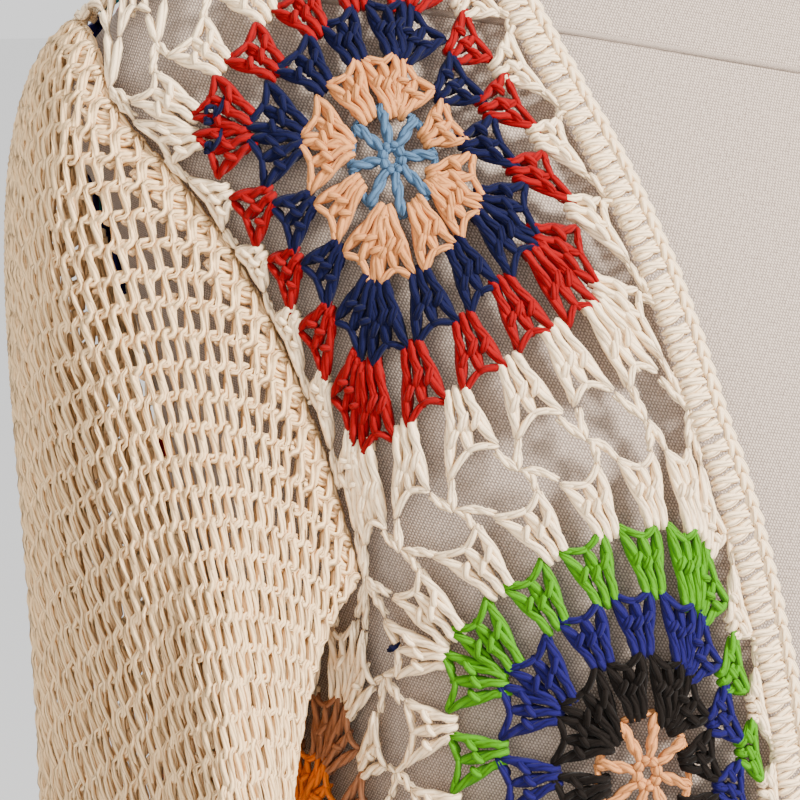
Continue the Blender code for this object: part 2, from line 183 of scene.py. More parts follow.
def mix_colours(tree, factor, dark, light):
    """From the dark colour at 0 to the light one at 1."""
    mix = tree.nodes.new("ShaderNodeMix")
    mix.data_type = "RGBA"
    mix.inputs["A"].default_value = (*dark, 1)
    mix.inputs["B"].default_value = (*light, 1)
    tree.links.new(factor, mix.inputs["Factor"])
    return mix.outputs["Result"]


# %% [markdown]
# ## Cotton yarn
# The yarn is dull cotton of three plies, wound round each other. Its grooves could be
# modelled, but each strand would need ten times the faces. A sine of the strand's own
# coordinates, once round in U and along it in V, bumps them instead and keeps them on the
# strand however it bends. The groove's colour is painted darker and warmer: painted shade
# for the light lost between the plies.

# %% Yarn
PLIES = 3
PLY_TURN = 0.55
PAINTED_GROOVE_SHADE = (0.29, 0.20, 0.135)
YARN_ROUGHNESS = 0.72
YARN_SHEEN = 0.03
YARN_SHINE = 0.07
FIBRE_STRETCH = (14, 2.2, 1)
FIBRE_LEAN = math.radians(18)
FIBRE_SHARE = 0.9


def fibre_noise(tree, uv):
    """Fine streaks along the strand, leaning the way the plies are twisted."""
    stretch = tree.nodes.new("ShaderNodeMapping")
    stretch.inputs["Scale"].default_value = FIBRE_STRETCH
    stretch.inputs["Rotation"].default_value = (0, 0, FIBRE_LEAN)
    tree.links.new(uv, stretch.inputs[0])
    fibre = tree.nodes.new("ShaderNodeTexNoise")
    tree.links.new(stretch.outputs[0], fibre.inputs["Vector"])
    fibre.inputs["Scale"].default_value = 1.6
    fibre.inputs["Detail"].default_value = 3
    return fibre.outputs["Fac"]


def yarn_material(name, colour):
    """Cotton of one colour: twisted plies, fine fibres, and painted shade in the groove between.
    """
    made, tree, shader = new_material(name, colour, YARN_ROUGHNESS)
    shader.inputs["Sheen Weight"].default_value = YARN_SHEEN
    shader.inputs["Sheen Roughness"].default_value = 0.45
    shader.inputs["Specular IOR Level"].default_value = YARN_SHINE
    uv, around, along = split_uv(tree)
    twist = maths(tree, "ADD", maths(tree, "MULTIPLY", around, PLIES),
                  maths(tree, "MULTIPLY", along, PLY_TURN))
    ply = maths(tree, "ABSOLUTE", maths(tree, "SINE", maths(tree, "MULTIPLY", twist, math.pi)))
    fibre = maths(tree, "MULTIPLY", fibre_noise(tree, uv), FIBRE_SHARE)
    height = maths(tree, "ADD", ply, fibre)
    tone = maths(tree, "MINIMUM", height, 1)
    # The groove's colour is painted shade: the yarn's own colour made darker and warmer.
    dark = tuple(value * share for value, share in zip(colour, PAINTED_GROOVE_SHADE))
    tree.links.new(mix_colours(tree, tone, dark, colour), shader.inputs["Base Color"])
    bump_to(tree, shader, height, 0.9, 0.0005)
    return made


# %% Yarn colours
YARN_COLOURS = {
    "cream": (1.0, 0.78, 0.51), "red": (0.235, 0.0, 0.002), "navy": (0.003, 0.004, 0.030),
    "tan": (0.60, 0.25, 0.085), "slate": (0.065, 0.13, 0.225), "green": (0.06, 0.245, 0.003),
    "royal": (0.009, 0.006, 0.080), "black": (0.006, 0.004, 0.003),
    # shaded_cream is the cream yarn painted darker and warmer: painted shade for the sleeves and
    # cuffs.
    "orange": (0.70, 0.16, 0.003), "shaded_cream": (0.97, 0.67, 0.365), "brown": (0.30, 0.125, 0.06),
    "teal": (0.02, 0.20, 0.22), "plum": (0.19, 0.03, 0.14), "gold": (0.66, 0.42, 0.07),
    "rose": (0.60, 0.16, 0.20),
}
yarns = {name: yarn_material(f"yarn_{name}", colour) for name, colour in YARN_COLOURS.items()}
YARN_ORDER = list(yarns)
print(f"{len(yarns)} yarns: {', '.join(YARN_ORDER)}")

# %% [markdown]
# ## The cloth's surface
# The cardigan hangs clear of the form and touches it only in a few places. Its surface
# could be found by a cloth simulation, but the CAD walls were drawn from short tables of
# level sections. The same sizes and functions are used again here, so that each strand of
# yarn lies just where its wall does.

# %% Sizes of the cardigan
CLEARANCE = 0.0051
BAND_WIDTH = 0.008
HEM_HEIGHT = 0.022
HEM_LINE = 0.950
COLUMNS = 8
UNDERARM_DIP = 0.060
UNDERARM_SPREAD = 0.85
ARM_CURVE = 1.2
FRONT_CURVE = 0.35
CHEST_LINE = 1.266
SHOULDER_TIP = 0.1665
TIP_ANGLE = math.radians(-62)
NECK_SIDE = 0.088
NECK_FRONT_ANGLE = math.radians(-25)
NECK_BACK_ANGLE = math.radians(40)
BACK_BAND_ANGLE = math.radians(5.0) / 0.013
PIVOT_HEIGHT = 1.325
BUST_HEIGHT = 1.17

# %% Sections of the form and of the hanging cloth
Section = namedtuple("Section", "height half_width front back power")
FORM = [
    Section(0.800, 0.158, 0.105, 0.110, 2.3),
    Section(0.900, 0.155, 0.100, 0.108, 2.3),
    Section(1.000, 0.118, 0.084, 0.086, 2.2),
    Section(1.080, 0.120, 0.098, 0.090, 2.3),
    Section(1.170, 0.130, 0.120, 0.098, 2.5),
    Section(1.240, 0.135, 0.108, 0.102, 2.5),
    Section(1.300, 0.152, 0.084, 0.098, 2.4),
    Section(1.335, 0.166, 0.063, 0.078, 2.2),
    Section(1.356, 0.151, 0.053, 0.063, 2.1),
    Section(1.390, 0.110, 0.050, 0.058, 2.0),
    Section(1.410, 0.070, 0.050, 0.056, 2.0),
    Section(1.450, 0.055, 0.050, 0.054, 2.0),
    Section(1.470, 0.054, 0.050, 0.053, 2.0),
]
HANGING = [
    Section(0.880, 0.167, 0.114, 0.120, 2.3),
    Section(0.950, 0.160, 0.116, 0.116, 2.3),
    Section(1.020, 0.148, 0.120, 0.110, 2.35),
    Section(1.100, 0.139, 0.123, 0.104, 2.4),
]

# %% Front opening and sleeves
Opening = namedtuple("Opening", "height half_gap")
FRONT_GAP = [
    Opening(0.880, 0.030),
    Opening(1.100, 0.031),
    Opening(1.200, 0.040),
    Opening(1.260, 0.050),
    Opening(1.290, 0.058),
    Opening(1.355, 0.074),
]
Sleeve = namedtuple("Sleeve", "height centre_x centre_y half_thick half_depth")
SLEEVE = [
    Sleeve(0.855, 0.1940, -0.006, 0.0180, 0.058),
    Sleeve(0.880, 0.1925, -0.008, 0.0180, 0.059),
    Sleeve(0.950, 0.1850, -0.014, 0.0185, 0.060),
    Sleeve(1.020, 0.1730, -0.020, 0.0185, 0.0605),
    Sleeve(1.100, 0.1625, -0.026, 0.0185, 0.0605),
    Sleeve(1.160, 0.1612, -0.028, 0.0185, 0.0605),
]
SECTION_COLUMNS = ("half_width", "front", "back", "power")
SLEEVE_COLUMNS = ("centre_x", "centre_y", "half_thick", "half_depth")
SLEEVE_HANGS_FROM = 1.160
CUFF_TOP = 0.890
CUFF_END = 0.862
print(f"{len(FORM)} sections of the form, {len(SLEEVE)} of the sleeve")


# %% Read a table between its rows
def read_table(rows, height, columns):
    """Smooth values between the rows of a table, as cubic Hermite pieces."""
    levels = np.array([row.height for row in rows])
    height = np.clip(height, levels[0], levels[-1])
    index = np.clip(np.searchsorted(levels, height) - 1, 0, len(levels) - 2)
    span = levels[index + 1] - levels[index]
    t = (height - levels[index]) / span
    start, end = 2 * t**3 - 3 * t**2 + 1, -2 * t**3 + 3 * t**2
    leave, arrive = t**3 - 2 * t**2 + t, t**3 - t**2
    values = []
    for name in columns:
        value = np.array([getattr(row, name) for row in rows])
        slope = np.gradient(value, levels)
        values.append(start * value[index] + leave * span * slope[index]
                      + end * value[index + 1] + arrive * span * slope[index + 1])
    return values


# %% Level outlines
OUTLINE_POINTS = 361
CLOTH = HANGING + [
    Section(row.height + 0.6 * CLEARANCE, row.half_width + CLEARANCE, row.front + CLEARANCE,
            row.back + CLEARANCE, row.power)
    for row in FORM if row.height >= BUST_HEIGHT
]


def outline(rows, height):
    """One level outline from the front centre round the right side, and its lengths."""
    width, front, back_depth, power = read_table(rows, height, SECTION_COLUMNS)
    turn = np.linspace(0, 2 * math.pi, OUTLINE_POINTS)
    side, ahead = np.sin(turn), np.cos(turn)
    depth = np.where(ahead > 0, front, back_depth)
    x = -width * np.sign(side) * np.abs(side)**(2 / power)
    y = -depth * np.sign(ahead) * np.abs(ahead)**(2 / power)
    steps = np.hypot(np.diff(x), np.diff(y))
    return x, y, np.concatenate([[0], np.cumsum(steps)])


def on_outline(height, distance):
    """A place on the cloth, a distance round it from the front centre."""
    x, y, length = outline(CLOTH, height)
    distance = distance % length[-1]
    return np.array([np.interp(distance, length, x), np.interp(distance, length, y), height])


print(f"bust of the cloth: {outline(CLOTH, BUST_HEIGHT)[2][-1]:.3f} m round")


# %% Columns and rows of squares on the body
def row_height(column, row):
    """Height of a seam between rows; the seam at the chest dips under the arms."""
    dip = sum(math.exp(-((column - arm) / UNDERARM_SPREAD)**2) for arm in (1.5, COLUMNS - 1.5))
    foot = CHEST_LINE - UNDERARM_DIP * dip
    return foot + (HEM_LINE - foot) * (row - 1) / 2


def body_point(column, height, past=0.0):
    """A place on the cloth; past is how far it lies beyond the squares, on the band."""
    half_gap = read_table(FRONT_GAP, height, ("half_gap",))[0]
    whole = outline(CLOTH, height)[2][-1]
    first = half_gap + BAND_WIDTH
    distance = first + (whole - 2 * first) * column / COLUMNS
    distance += past if column > COLUMNS / 2 else -past
    return on_outline(height, distance)


print(f"chest seam at {row_height(0, 1):.3f} m, {row_height(1.5, 1):.3f} m under the arm")


# %% Shoulders, cast outwards from a line inside them
def outside(points):
    """Above 0 where a place is outside the cloth, below 0 inside."""
    width, front, back_depth, power = read_table(CLOTH, points[..., 2], SECTION_COLUMNS)
    depth = np.where(points[..., 1] < 0, front, back_depth)
    across = np.abs(points[..., 0]) / width
    return across**power + (np.abs(points[..., 1]) / depth)**power - 1


def cast_from_shoulder(x, angle):
    """Where a ray from the shoulder line leaves the cloth, found by halving."""
    x, angle = np.broadcast_arrays(np.asarray(x, float), np.asarray(angle, float))
    near, far = np.zeros(x.shape), np.full(x.shape, 0.30)
    for _ in range(32):
        middle = (near + far) / 2
        points = np.stack([x, middle * np.sin(angle), PIVOT_HEIGHT + middle * np.cos(angle)], -1)
        inner = outside(points) < 0
        near, far = np.where(inner, middle, near), np.where(inner, far, middle)
    return np.stack([x, near * np.sin(angle), PIVOT_HEIGHT + near * np.cos(angle)], -1)


# %% Lines of the neck and the top row
def neck_line(share, past=0.0):
    """Across and angle along the neck edge, from the side to the back centre."""
    back_angle = NECK_BACK_ANGLE - past * BACK_BAND_ANGLE
    turn = share * math.pi / 2
    return (-(NECK_SIDE - past) * math.cos(turn),
            NECK_FRONT_ANGLE + (back_angle - NECK_FRONT_ANGLE) * math.sin(turn))


def shoulder_edge(column, past=0.0):
    """Across and angle where a column of squares starts."""
    mirrored = min(column, COLUMNS - column)
    sign = 1 if column <= COLUMNS / 2 else -1
    if mirrored > 3:
        x, angle = neck_line(mirrored - 3)
        return sign * x, angle
    out = mirrored if mirrored <= 1 else 3 - mirrored
    x, angle = neck_line(0, past)
    return sign * (x + (-SHOULDER_TIP - x) * out), angle + (TIP_ANGLE - angle) * out**3


def top_line(column, samples=41, past=0.0):
    """A line down the top row, even in length, from the shoulder to the chest seam."""
    start_x, start_angle = shoulder_edge(column, past)
    foot = body_point(column, row_height(column, 1), past)
    foot_angle = math.atan2(foot[1], foot[2] - PIVOT_HEIGHT)
    t = np.linspace(0, 1, samples)
    arm = max(0, 1 - abs(min(column, COLUMNS - column) - 1.5) / 1.5)
    over = t**(1 + FRONT_CURVE + (ARM_CURVE - FRONT_CURVE) * arm)
    line = cast_from_shoulder(start_x + (foot[0] - start_x) * over,
                              start_angle + (foot_angle - start_angle) * t)
    length = np.concatenate([[0], np.cumsum(np.linalg.norm(np.diff(line, axis=0), axis=1))])
    even = np.linspace(0, length[-1], samples)
    return np.stack([np.interp(even, length, line[:, k]) for k in range(3)], 1)


top_length = np.linalg.norm(np.diff(top_line(0.5), axis=0), axis=1).sum()
print(f"the top front square hangs {top_length:.3f} m long")

# %% [markdown]
# ## From flat work to worn cloth
# Crochet is worked flat and then laid round a body. The same is done here. A patch is a
# grid of places with the outward direction at each, and yarn is drawn in its own flat
# coordinates: across and down from -1 to 1, and a height off the middle surface. A Shrinkwrap
# modifier could do it too, but it would flatten the strands that pass over each other.


# %% Patches
class Patch:
    """A grid of places on the cloth and the outward direction at each of them."""

    def __init__(self, grid, pull=(0, 0), closed=False):
        self.grid, self.pull = np.asarray(grid), pull
        if closed:
            ring = np.concatenate([self.grid[:, -2:-1], self.grid, self.grid[:, 1:2]], 1)
            across = (ring[:, 2:] - ring[:, :-2])
        else:
            across = np.gradient(self.grid, axis=1)
        normal = np.cross(across, np.gradient(self.grid, axis=0))
        self.normal = normal / np.linalg.norm(normal, axis=-1, keepdims=True)
        middle = len(self.grid) // 2
        self.half_across = np.linalg.norm(np.diff(self.grid[middle], axis=0), axis=1).sum() / 2
        self.widths = np.linalg.norm(np.diff(self.grid, axis=1), axis=2).sum(1)
        column = self.grid[:, self.grid.shape[1] // 2]
        self.half_down = np.linalg.norm(np.diff(column, axis=0), axis=1).sum() / 2

    def width_at(self, down):
        """The patch's width, from -1 at its top to 1 at its foot."""
        return np.interp(down, np.linspace(-1, 1, len(self.widths)), self.widths)

    def place(self, flat):
        """Places in space for flat points given as across, down, height."""
        a, b, h = flat[..., 0], flat[..., 1], flat[..., 2]
        fade = np.clip(1 - a**2, 0, 1) * np.clip(1 - b**2, 0, 1)**0.5
        rise = np.clip(1 - b**2, 0, 1) * np.clip(1 - a**2, 0, 1)**0.5
        a, b = a + self.pull[0] * fade, b + self.pull[1] * rise
        rows, columns = self.grid.shape[0] - 1, self.grid.shape[1] - 1
        u, v = (a + 1) / 2 * columns, (b + 1) / 2 * rows
        i = np.clip(np.floor(u).astype(int), 0, columns - 1)
        j = np.clip(np.floor(v).astype(int), 0, rows - 1)
        p, q = (u - i)[..., None], (v - j)[..., None]

        def blend(field):
            return ((field[j, i] * (1 - p) + field[j, i + 1] * p) * (1 - q)
                    + (field[j + 1, i] * (1 - p) + field[j + 1, i + 1] * p) * q)
        return blend(self.grid) + blend(self.normal) * h[..., None]


# %% The patch of one square
PATCH_STEPS = 24


def square_patch(row, column, pull):
    """A grid over one square of the cloth, its first row at the top."""
    lines = []
    for across in np.linspace(column, column + 1, PATCH_STEPS + 1):
        if row == 0:
            lines.append(top_line(across, PATCH_STEPS + 1))
        else:
            top, foot = row_height(across, row), row_height(across, row + 1)
            lines.append([body_point(across, height)
                          for height in np.linspace(top, foot, PATCH_STEPS + 1)])
    return Patch(np.array(lines).transpose(1, 0, 2), pull)


# %% [markdown]
# ## Strands as tubes
# A strand is a round thread. A Blender curve with a bevel makes one too, but tens of
# thousands of them are slow. Here all strands with the same number of points become tubes
# at once: a ring of corners at each point, turned as little as possible from one to the
# next, so that the plies in the material don't slip.

# %% Rings along a strand
END_TAPER = 0.45
TINY = 1e-12


def carried_sides(paths):
    """Two directions square to each path, carried along it without a twist."""
    tangent = np.gradient(paths, axis=1)
    tangent /= np.linalg.norm(tangent, axis=-1, keepdims=True) + TINY
    now = np.eye(3)[np.argmin(np.abs(tangent[:, 0]), axis=1)]
    normal = np.zeros_like(paths)
    for k in range(paths.shape[1]):
        now = now - (now * tangent[:, k]).sum(-1, keepdims=True) * tangent[:, k]
        now = now / (np.linalg.norm(now, axis=-1, keepdims=True) + TINY)
        normal[:, k] = now
    return normal, np.cross(tangent, normal)


def wound_uv(paths, radius, sides):
    """UV for each quad: once round in U, and the length in turns of the strand in V."""
    steps = np.linalg.norm(np.diff(paths, axis=1), axis=-1)
    along = np.concatenate([np.zeros((len(paths), 1)), np.cumsum(steps, 1)], 1)
    along = along / (2 * math.pi * radius.max(1, keepdims=True))
    v = np.broadcast_to(along[:, :, None], (*along.shape, sides))
    low, high = v[:, :-1], v[:, 1:]
    left = np.broadcast_to(np.arange(sides) / sides, low.shape)
    right = np.broadcast_to(np.arange(sides) / sides + 1 / sides, low.shape)
    return np.stack([np.stack([left, right, right, left], -1),
                     np.stack([low, low, high, high], -1)], -1)


# %% Yarn
class Yarn:
    """Collects strands as tubes and makes one mesh of them."""

    def __init__(self):
        self.points, self.loops, self.starts, self.uvs, self.slots = [], [], [], [], []
        self.count = self.loop_count = 0

    def add(self, paths, radius, colour, sides=5):
        """Tubes along paths of shape (strands, points, 3), with a radius at each point."""
        paths = np.asarray(paths, float)
        strands, length = paths.shape[:2]
        radius = np.broadcast_to(radius, (strands, length)).copy()
        radius[:, 0] *= END_TAPER
        radius[:, -1] *= END_TAPER
        normal, binormal = carried_sides(paths)
        turn = np.arange(sides) / sides * 2 * math.pi
        ring = (normal[:, :, None] * np.cos(turn)[:, None]
                + binormal[:, :, None] * np.sin(turn)[:, None])
        vertices = paths[:, :, None] + ring * radius[:, :, None, None]
        index = (np.arange(strands)[:, None, None] * length * sides
                 + np.arange(length)[:, None] * sides + np.arange(sides)) + self.count
        ahead = np.roll(index, -1, axis=2)
        quads = np.stack([index[:, :-1], ahead[:, :-1], ahead[:, 1:], index[:, 1:]], -1)
        uv = wound_uv(paths, radius, sides)
        self._faces(quads.reshape(-1, 4), uv.reshape(-1, 4, 2), colour)
        cap_uv = np.stack([np.cos(turn), np.sin(turn)], -1) * 0.05
        for end, order in ((0, -1), (length - 1, 1)):
            cap = index[:, end][:, ::order]
            self._faces(cap, np.broadcast_to(cap_uv, (strands, sides, 2)), colour)
        self.points.append(vertices.reshape(-1, 3))
        self.count += strands * length * sides

    def _faces(self, faces, uvs, colour):
        corners = faces.shape[1]
        self.loops.append(faces.reshape(-1))
        self.starts.append(self.loop_count + np.arange(len(faces)) * corners)
        self.loop_count += faces.size
        self.uvs.append(np.asarray(uvs).reshape(-1, 2))
        self.slots.append(np.full(len(faces), YARN_ORDER.index(colour)))

    def make(self, name, node, slot):
        """The finished object, in place of a CAD node."""
        mesh = bpy.data.meshes.new(name)
        points, loops = np.concatenate(self.points), np.concatenate(self.loops)
        starts, used = np.concatenate(self.starts), np.concatenate(self.slots)
        mesh.vertices.add(len(points))
        mesh.vertices.foreach_set("co", points.astype(np.float32).ravel())
        mesh.loops.add(len(loops))
        mesh.loops.foreach_set("vertex_index", loops.astype(np.int32))
        mesh.polygons.add(len(starts))
        mesh.polygons.foreach_set("loop_start", starts.astype(np.int32))
        present = sorted(set(used.tolist()))
        for k in present:
            mesh.materials.append(yarns[YARN_ORDER[k]])
        lookup = np.zeros(len(YARN_ORDER), np.int32)
        lookup[present] = np.arange(len(present))
        mesh.polygons.foreach_set("material_index", lookup[used])
        mesh.update(calc_edges=True)
        layer = mesh.uv_layers.new(name="UVMap")
        layer.data.foreach_set("uv", np.concatenate(self.uvs).astype(np.float32).ravel())
        mesh.shade_smooth()
        piece = bpy.data.objects.new(name, mesh)
        bpy.context.scene.collection.objects.link(piece)
        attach(piece, "root")
        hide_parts(node)
        triangles = len(loops) - 2 * len(starts)
        surface = sum(polygon.area for polygon in mesh.polygons)
        print(f"{name}: {triangles} triangles, {surface * 1e4:.0f} cm2 of yarn")
        return piece


# %% [markdown]
# ## Rounds of a square
# A granny square grows outwards in rounds of clusters, three stitches worked into one gap.
# A cluster's base sits between two clusters of the round before, and it fans out to two
# tips, which the next bases grip. One cluster could be drawn and copied, but each side of
# a round is longer than the one inside it, so each cluster is laid between its own places.

# %% Rounds of a square
Round = namedtuple("Round", "inner outer per_side base_half")
ROUNDS = [
    Round(0.175, 0.360, 3, 2.3),
    Round(0.355, 0.540, 4, 2.7),
    Round(0.535, 0.725, 5, 3.1),
    Round(0.720, 0.910, 6, 3.2),
]
EVENLY = (0.22, 0.22)
ROUNDNESS = 1.3


def ring_spot(side, radius, along, widened=EVENLY):
    """Flat place on a round: side 0 to 3, how far out, and -1 to 1 along the side."""
    radius, along = np.broadcast_arrays(np.asarray(radius, float), np.asarray(along, float))
    round_share = 1 - radius**ROUNDNESS
    turn = along * math.pi / 4
    x = radius * (along * (1 - round_share) + np.sin(turn) * round_share)
    y = radius * ((1 - round_share) + np.cos(turn) * round_share)
    for _ in range(side):
        x, y = y, -x
    wide = x * (1 + np.where(x < 0, *widened) * (1 - x**2))
    return np.stack([wide, y], -1)


print(f"{sum(4 * ring.per_side for ring in ROUNDS)} clusters in a square")

# %% [markdown]
# ## Strands of one cluster
# A stitch of a cluster is a post of two strands, a yarn over that crosses it, and a loop
# of the top edge. Each is a short line of places: across the cluster, up it from base to
# top, and two small moves in mm, sideways and off the cloth. The posts start behind the
# round below and come over its edge, as a hook draws them.


# %% Shapes of the strands, as across, up, sideways mm, height mm
def post_strand(place, twist, points=10):
    """One strand of a post: from behind the round below, over it and up to the top."""
    tip = 0.90 + 0.14 * abs(place)
    up = np.concatenate([[0.08, -0.06, -0.07], np.linspace(0.03, tip, points - 3)])
    swing = np.clip(up / 0.15, 0, 1)
    place = place * (1 + 0.48 * np.clip(up, 0, 1)**2)
    turn = twist + 5.2 * np.clip(up, 0, 1)
    sideways = 0.62 * np.cos(turn) * swing
    height = 0.55 + 0.62 * np.sin(turn) * swing
    height[:4] = -1.2, -0.8, 0.3, 1.15
    return np.stack([place, up, sideways, height], -1)


def wrap_strand(place, low, points=6):
    """The yarn over that crosses a post."""
    t = np.linspace(0, 1, points)
    return np.stack([place + 0.16 * (t - 0.5), low + 0.20 * t, 2.2 * (t - 0.5),
                     0.5 + 1.45 * np.sin(math.pi * t)], -1)


def top_strand(start, end, lift, points=7):
    """A loop of the top edge, from one stitch to the tip of the cluster."""
    t = np.linspace(0, 1, points)
    across = start + (end - start) * t
    up = 0.84 + 0.19 * np.abs(across)**1.6
    height = lift + 0.75 * np.sin(math.pi * t)
    return np.stack([across, up, np.zeros(points), height], -1)


# %% Full, medium and plain clusters
FULL_POSTS = [post_strand(place, twist) for place in (-0.66, 0.0, 0.66) for twist in (0.3, 3.44)]
FULL_WRAPS = [wrap_strand(-0.60, 0.42), wrap_strand(0.02, 0.36), wrap_strand(0.60, 0.46)]
FULL_TOPS = [top_strand(-0.30, -1.03, 0.3), top_strand(-0.80, 0.25, 0.6),
             top_strand(-0.10, 0.98, 0.7), top_strand(0.30, 1.04, -0.1)]
PLAIN_POSTS = [post_strand(place, 0.8, 6) for place in (-0.62, 0.0, 0.62)]
PLAIN_TOPS = [top_strand(-0.3, -1.03, 0.5, 4), top_strand(-0.35, 1.03, 0.7, 5)]
Detail = namedtuple("Detail", "posts wraps tops sides strand")
FULL = Detail(FULL_POSTS, FULL_WRAPS, FULL_TOPS, 6, 1.0)
MEDIUM = Detail(FULL_POSTS, FULL_WRAPS[1:2], FULL_TOPS[1:3], 4, 1.0)
PLAIN = Detail(PLAIN_POSTS, [], PLAIN_TOPS, 4, 1.3)
for label, detail in (("full", FULL), ("medium", MEDIUM), ("plain", PLAIN)):
    strands = len(detail.posts) + len(detail.wraps) + len(detail.tops)
    print(f"{label} cluster: {strands} strands of {detail.sides} sides")

# %% [markdown]
# ## Laying the strands
# Hand work is uneven, and even rows would look printed. Each cluster's base and tips move
# by a third of a millimetre or so, and each strand a little more, all from one seeded
# source, so that the file gives the same cardigan each time.

# %% Lay clusters
BASE_WANDER = 0.35
TIP_WANDER = 0.40
UP_WANDER = 0.012
HEIGHT_WANDER = 0.12
WRAP_THICKNESS = 0.9
TOP_THICKNESS = 0.85


def lay_clusters(yarn, patch, bases, lefts, rights, colour, detail, base_half):
    """Clusters between flat base places and the places of their left and right tips."""
    scale = np.array([patch.half_across, patch.half_down]) / MM
    base, left, right = (np.asarray(p) * scale for p in (bases, lefts, rights))
    count = len(base)
    base = base + rng.normal(0, BASE_WANDER, base.shape)
    left = left + rng.normal(0, TIP_WANDER, left.shape)
    right = right + rng.normal(0, TIP_WANDER, right.shape)
    top = (left + right) / 2
    half = np.linalg.norm(right - left, axis=-1, keepdims=True) / 2
    sidewards = (right - left) / (2 * half)

    def lay(shapes, radius):
        for shape in shapes:
            shape = np.broadcast_to(shape, (count, *shape.shape)).copy()
            shape[..., 1] += rng.normal(0, UP_WANDER, (count, 1))
            shape[..., 3] += rng.normal(0, HEIGHT_WANDER, (count, 1))
            up = shape[..., 1:2]
            share = np.clip(up, 0, 1)**0.85
            width = base_half * (1 - share) + half[:, None] * share
            across = shape[..., 0:1] * width + shape[..., 2:3]
            flat = base[:, None] + (top - base)[:, None] * up + sidewards[:, None] * across
            solid = np.concatenate([flat / scale, shape[..., 3:4] * MM], -1)
            yarn.add(patch.place(solid), radius * MM, colour, detail.sides)

    lay(detail.posts, detail.strand)
    lay(detail.wraps, detail.strand * WRAP_THICKNESS)
    lay(detail.tops, detail.strand * TOP_THICKNESS)


# %% Lay single strands
TURN_LENGTH = 4.2


def lay_strands(yarn, patch, starts, ends, colour, sides, radius, points=8, lift=0.6,
                twist=0.55):
    """Two strands wound round each other between flat places, or one if twist is 0."""
    scale = np.array([patch.half_across, patch.half_down]) / MM
    start, end = np.asarray(starts) * scale, np.asarray(ends) * scale
    t = np.linspace(0, 1, points)[None, :, None]
    line = start[:, None] + (end - start)[:, None] * t
    across = end - start
    length = np.linalg.norm(across, axis=-1, keepdims=True)
    sidewards = np.stack([-across[:, 1], across[:, 0]], -1) / (length + 1e-9)
    for phase in ((0, math.pi) if twist else (0,)):
        turn = phase + t * length[:, None] / TURN_LENGTH * math.pi
        flat = line + sidewards[:, None] * (twist * np.cos(turn))
        solid = np.concatenate([flat / scale, (lift + twist * np.sin(turn)) * MM], -1)
        yarn.add(patch.place(solid), radius * MM, colour, sides)


# %% [markdown]
# ## One whole square
# The maker starts with a small ring, works spokes into it, then four rounds of clusters,
# and last joins the square to its neighbours with short loops between their edges. The
# function goes the same way round, so that every loop ends where the next one starts.

# %% Centre of a square
SPOKES = 8
SPOKE_START = 0.035
SPOKE_END = 0.185
LONGEST_SPOKE = 1.35
RING_SIZE = 1.15


def lay_centre(yarn, patch, colour, detail):
    """The ring in the middle, the spokes out of it and the loop round their tips."""
    two = detail is not PLAIN
    turn = (np.arange(SPOKES) + 0.5) / SPOKES * 2 * math.pi
    aim = np.stack([np.sin(turn), np.cos(turn)], -1)
    ratio = patch.half_down / patch.half_across
    squeeze = np.array([min(ratio, LONGEST_SPOKE), 1.0])
    inner, tips = aim * SPOKE_START * squeeze, aim * SPOKE_END * squeeze
    lay_strands(yarn, patch, inner, tips, colour, detail.sides, 0.95 if two else 1.5,
                twist=0.6 if two else 0)
    lay_strands(yarn, patch, np.roll(inner, 1, 0) * RING_SIZE, inner * RING_SIZE, colour,
                detail.sides, 1.1, points=5, lift=0.9, twist=0.4 if two else 0)
    if two:
        lay_strands(yarn, patch, tips, np.roll(tips, 1, 0), colour, 4, 0.8, points=6,
                    lift=0.0, twist=0.4)


# %% Rounds and join loops
BASE_REACH = 0.93
TIP_GAP = 0.05
JOIN_GAP = 0.06
JOIN_RIM = 0.01


def lay_round(yarn, patch, ring, colour, detail, widened):
    """The four sides of one round of clusters."""
    step = np.arange(ring.per_side)
    along = -BASE_REACH + 2 * BASE_REACH * step / (ring.per_side - 1)
    for side in range(4):
        bases = ring_spot(side, ring.inner, along, widened)
        lefts = ring_spot(side, ring.outer, -1 + 2 * step / ring.per_side + TIP_GAP, widened)
        rights = ring_spot(side, ring.outer, -1 + 2 * (step + 1) / ring.per_side - TIP_GAP,
                           widened)
        lay_clusters(yarn, patch, bases, lefts, rights, colour, detail, ring.base_half)


def lay_joins(yarn, patch, colour, detail, widened):
    """Loops from the tips of the last round to the seam with the next square."""
    last = ROUNDS[-1]
    rim = last.outer + JOIN_RIM
    step = np.arange(last.per_side)
    radius, twist = (0.72, 0.5) if detail is not PLAIN else (1.2, 0)
    for side in range(4):
        left = ring_spot(side, rim, -1 + 2 * step / last.per_side + JOIN_GAP, widened)
        right = ring_spot(side, rim, -1 + 2 * (step + 1) / last.per_side - JOIN_GAP, widened)
        nodes = ring_spot(side, 1.0, -1 + 2 * np.arange(last.per_side + 1) / last.per_side)
        for ends, nodes_of in ((left, nodes[:-1]), (right, nodes[1:])):
            lay_strands(yarn, patch, ends, nodes_of, colour, detail.sides, radius, points=6,
                        lift=0.4, twist=twist)


def crochet_square(patch, colours, detail, widened):
    """A five-round square: centre ring and spokes, four rounds of clusters, join loops."""
    yarn = Yarn()
    lay_centre(yarn, patch, colours[0], detail)
    for ring, colour in zip(ROUNDS, colours[1:]):
        lay_round(yarn, patch, ring, colour, detail, widened)
    lay_joins(yarn, patch, colours[-1], detail, widened)
    return yarn


# %% Loose ends
END_RADIUS = 0.62
CURL_TURNS = 9.5


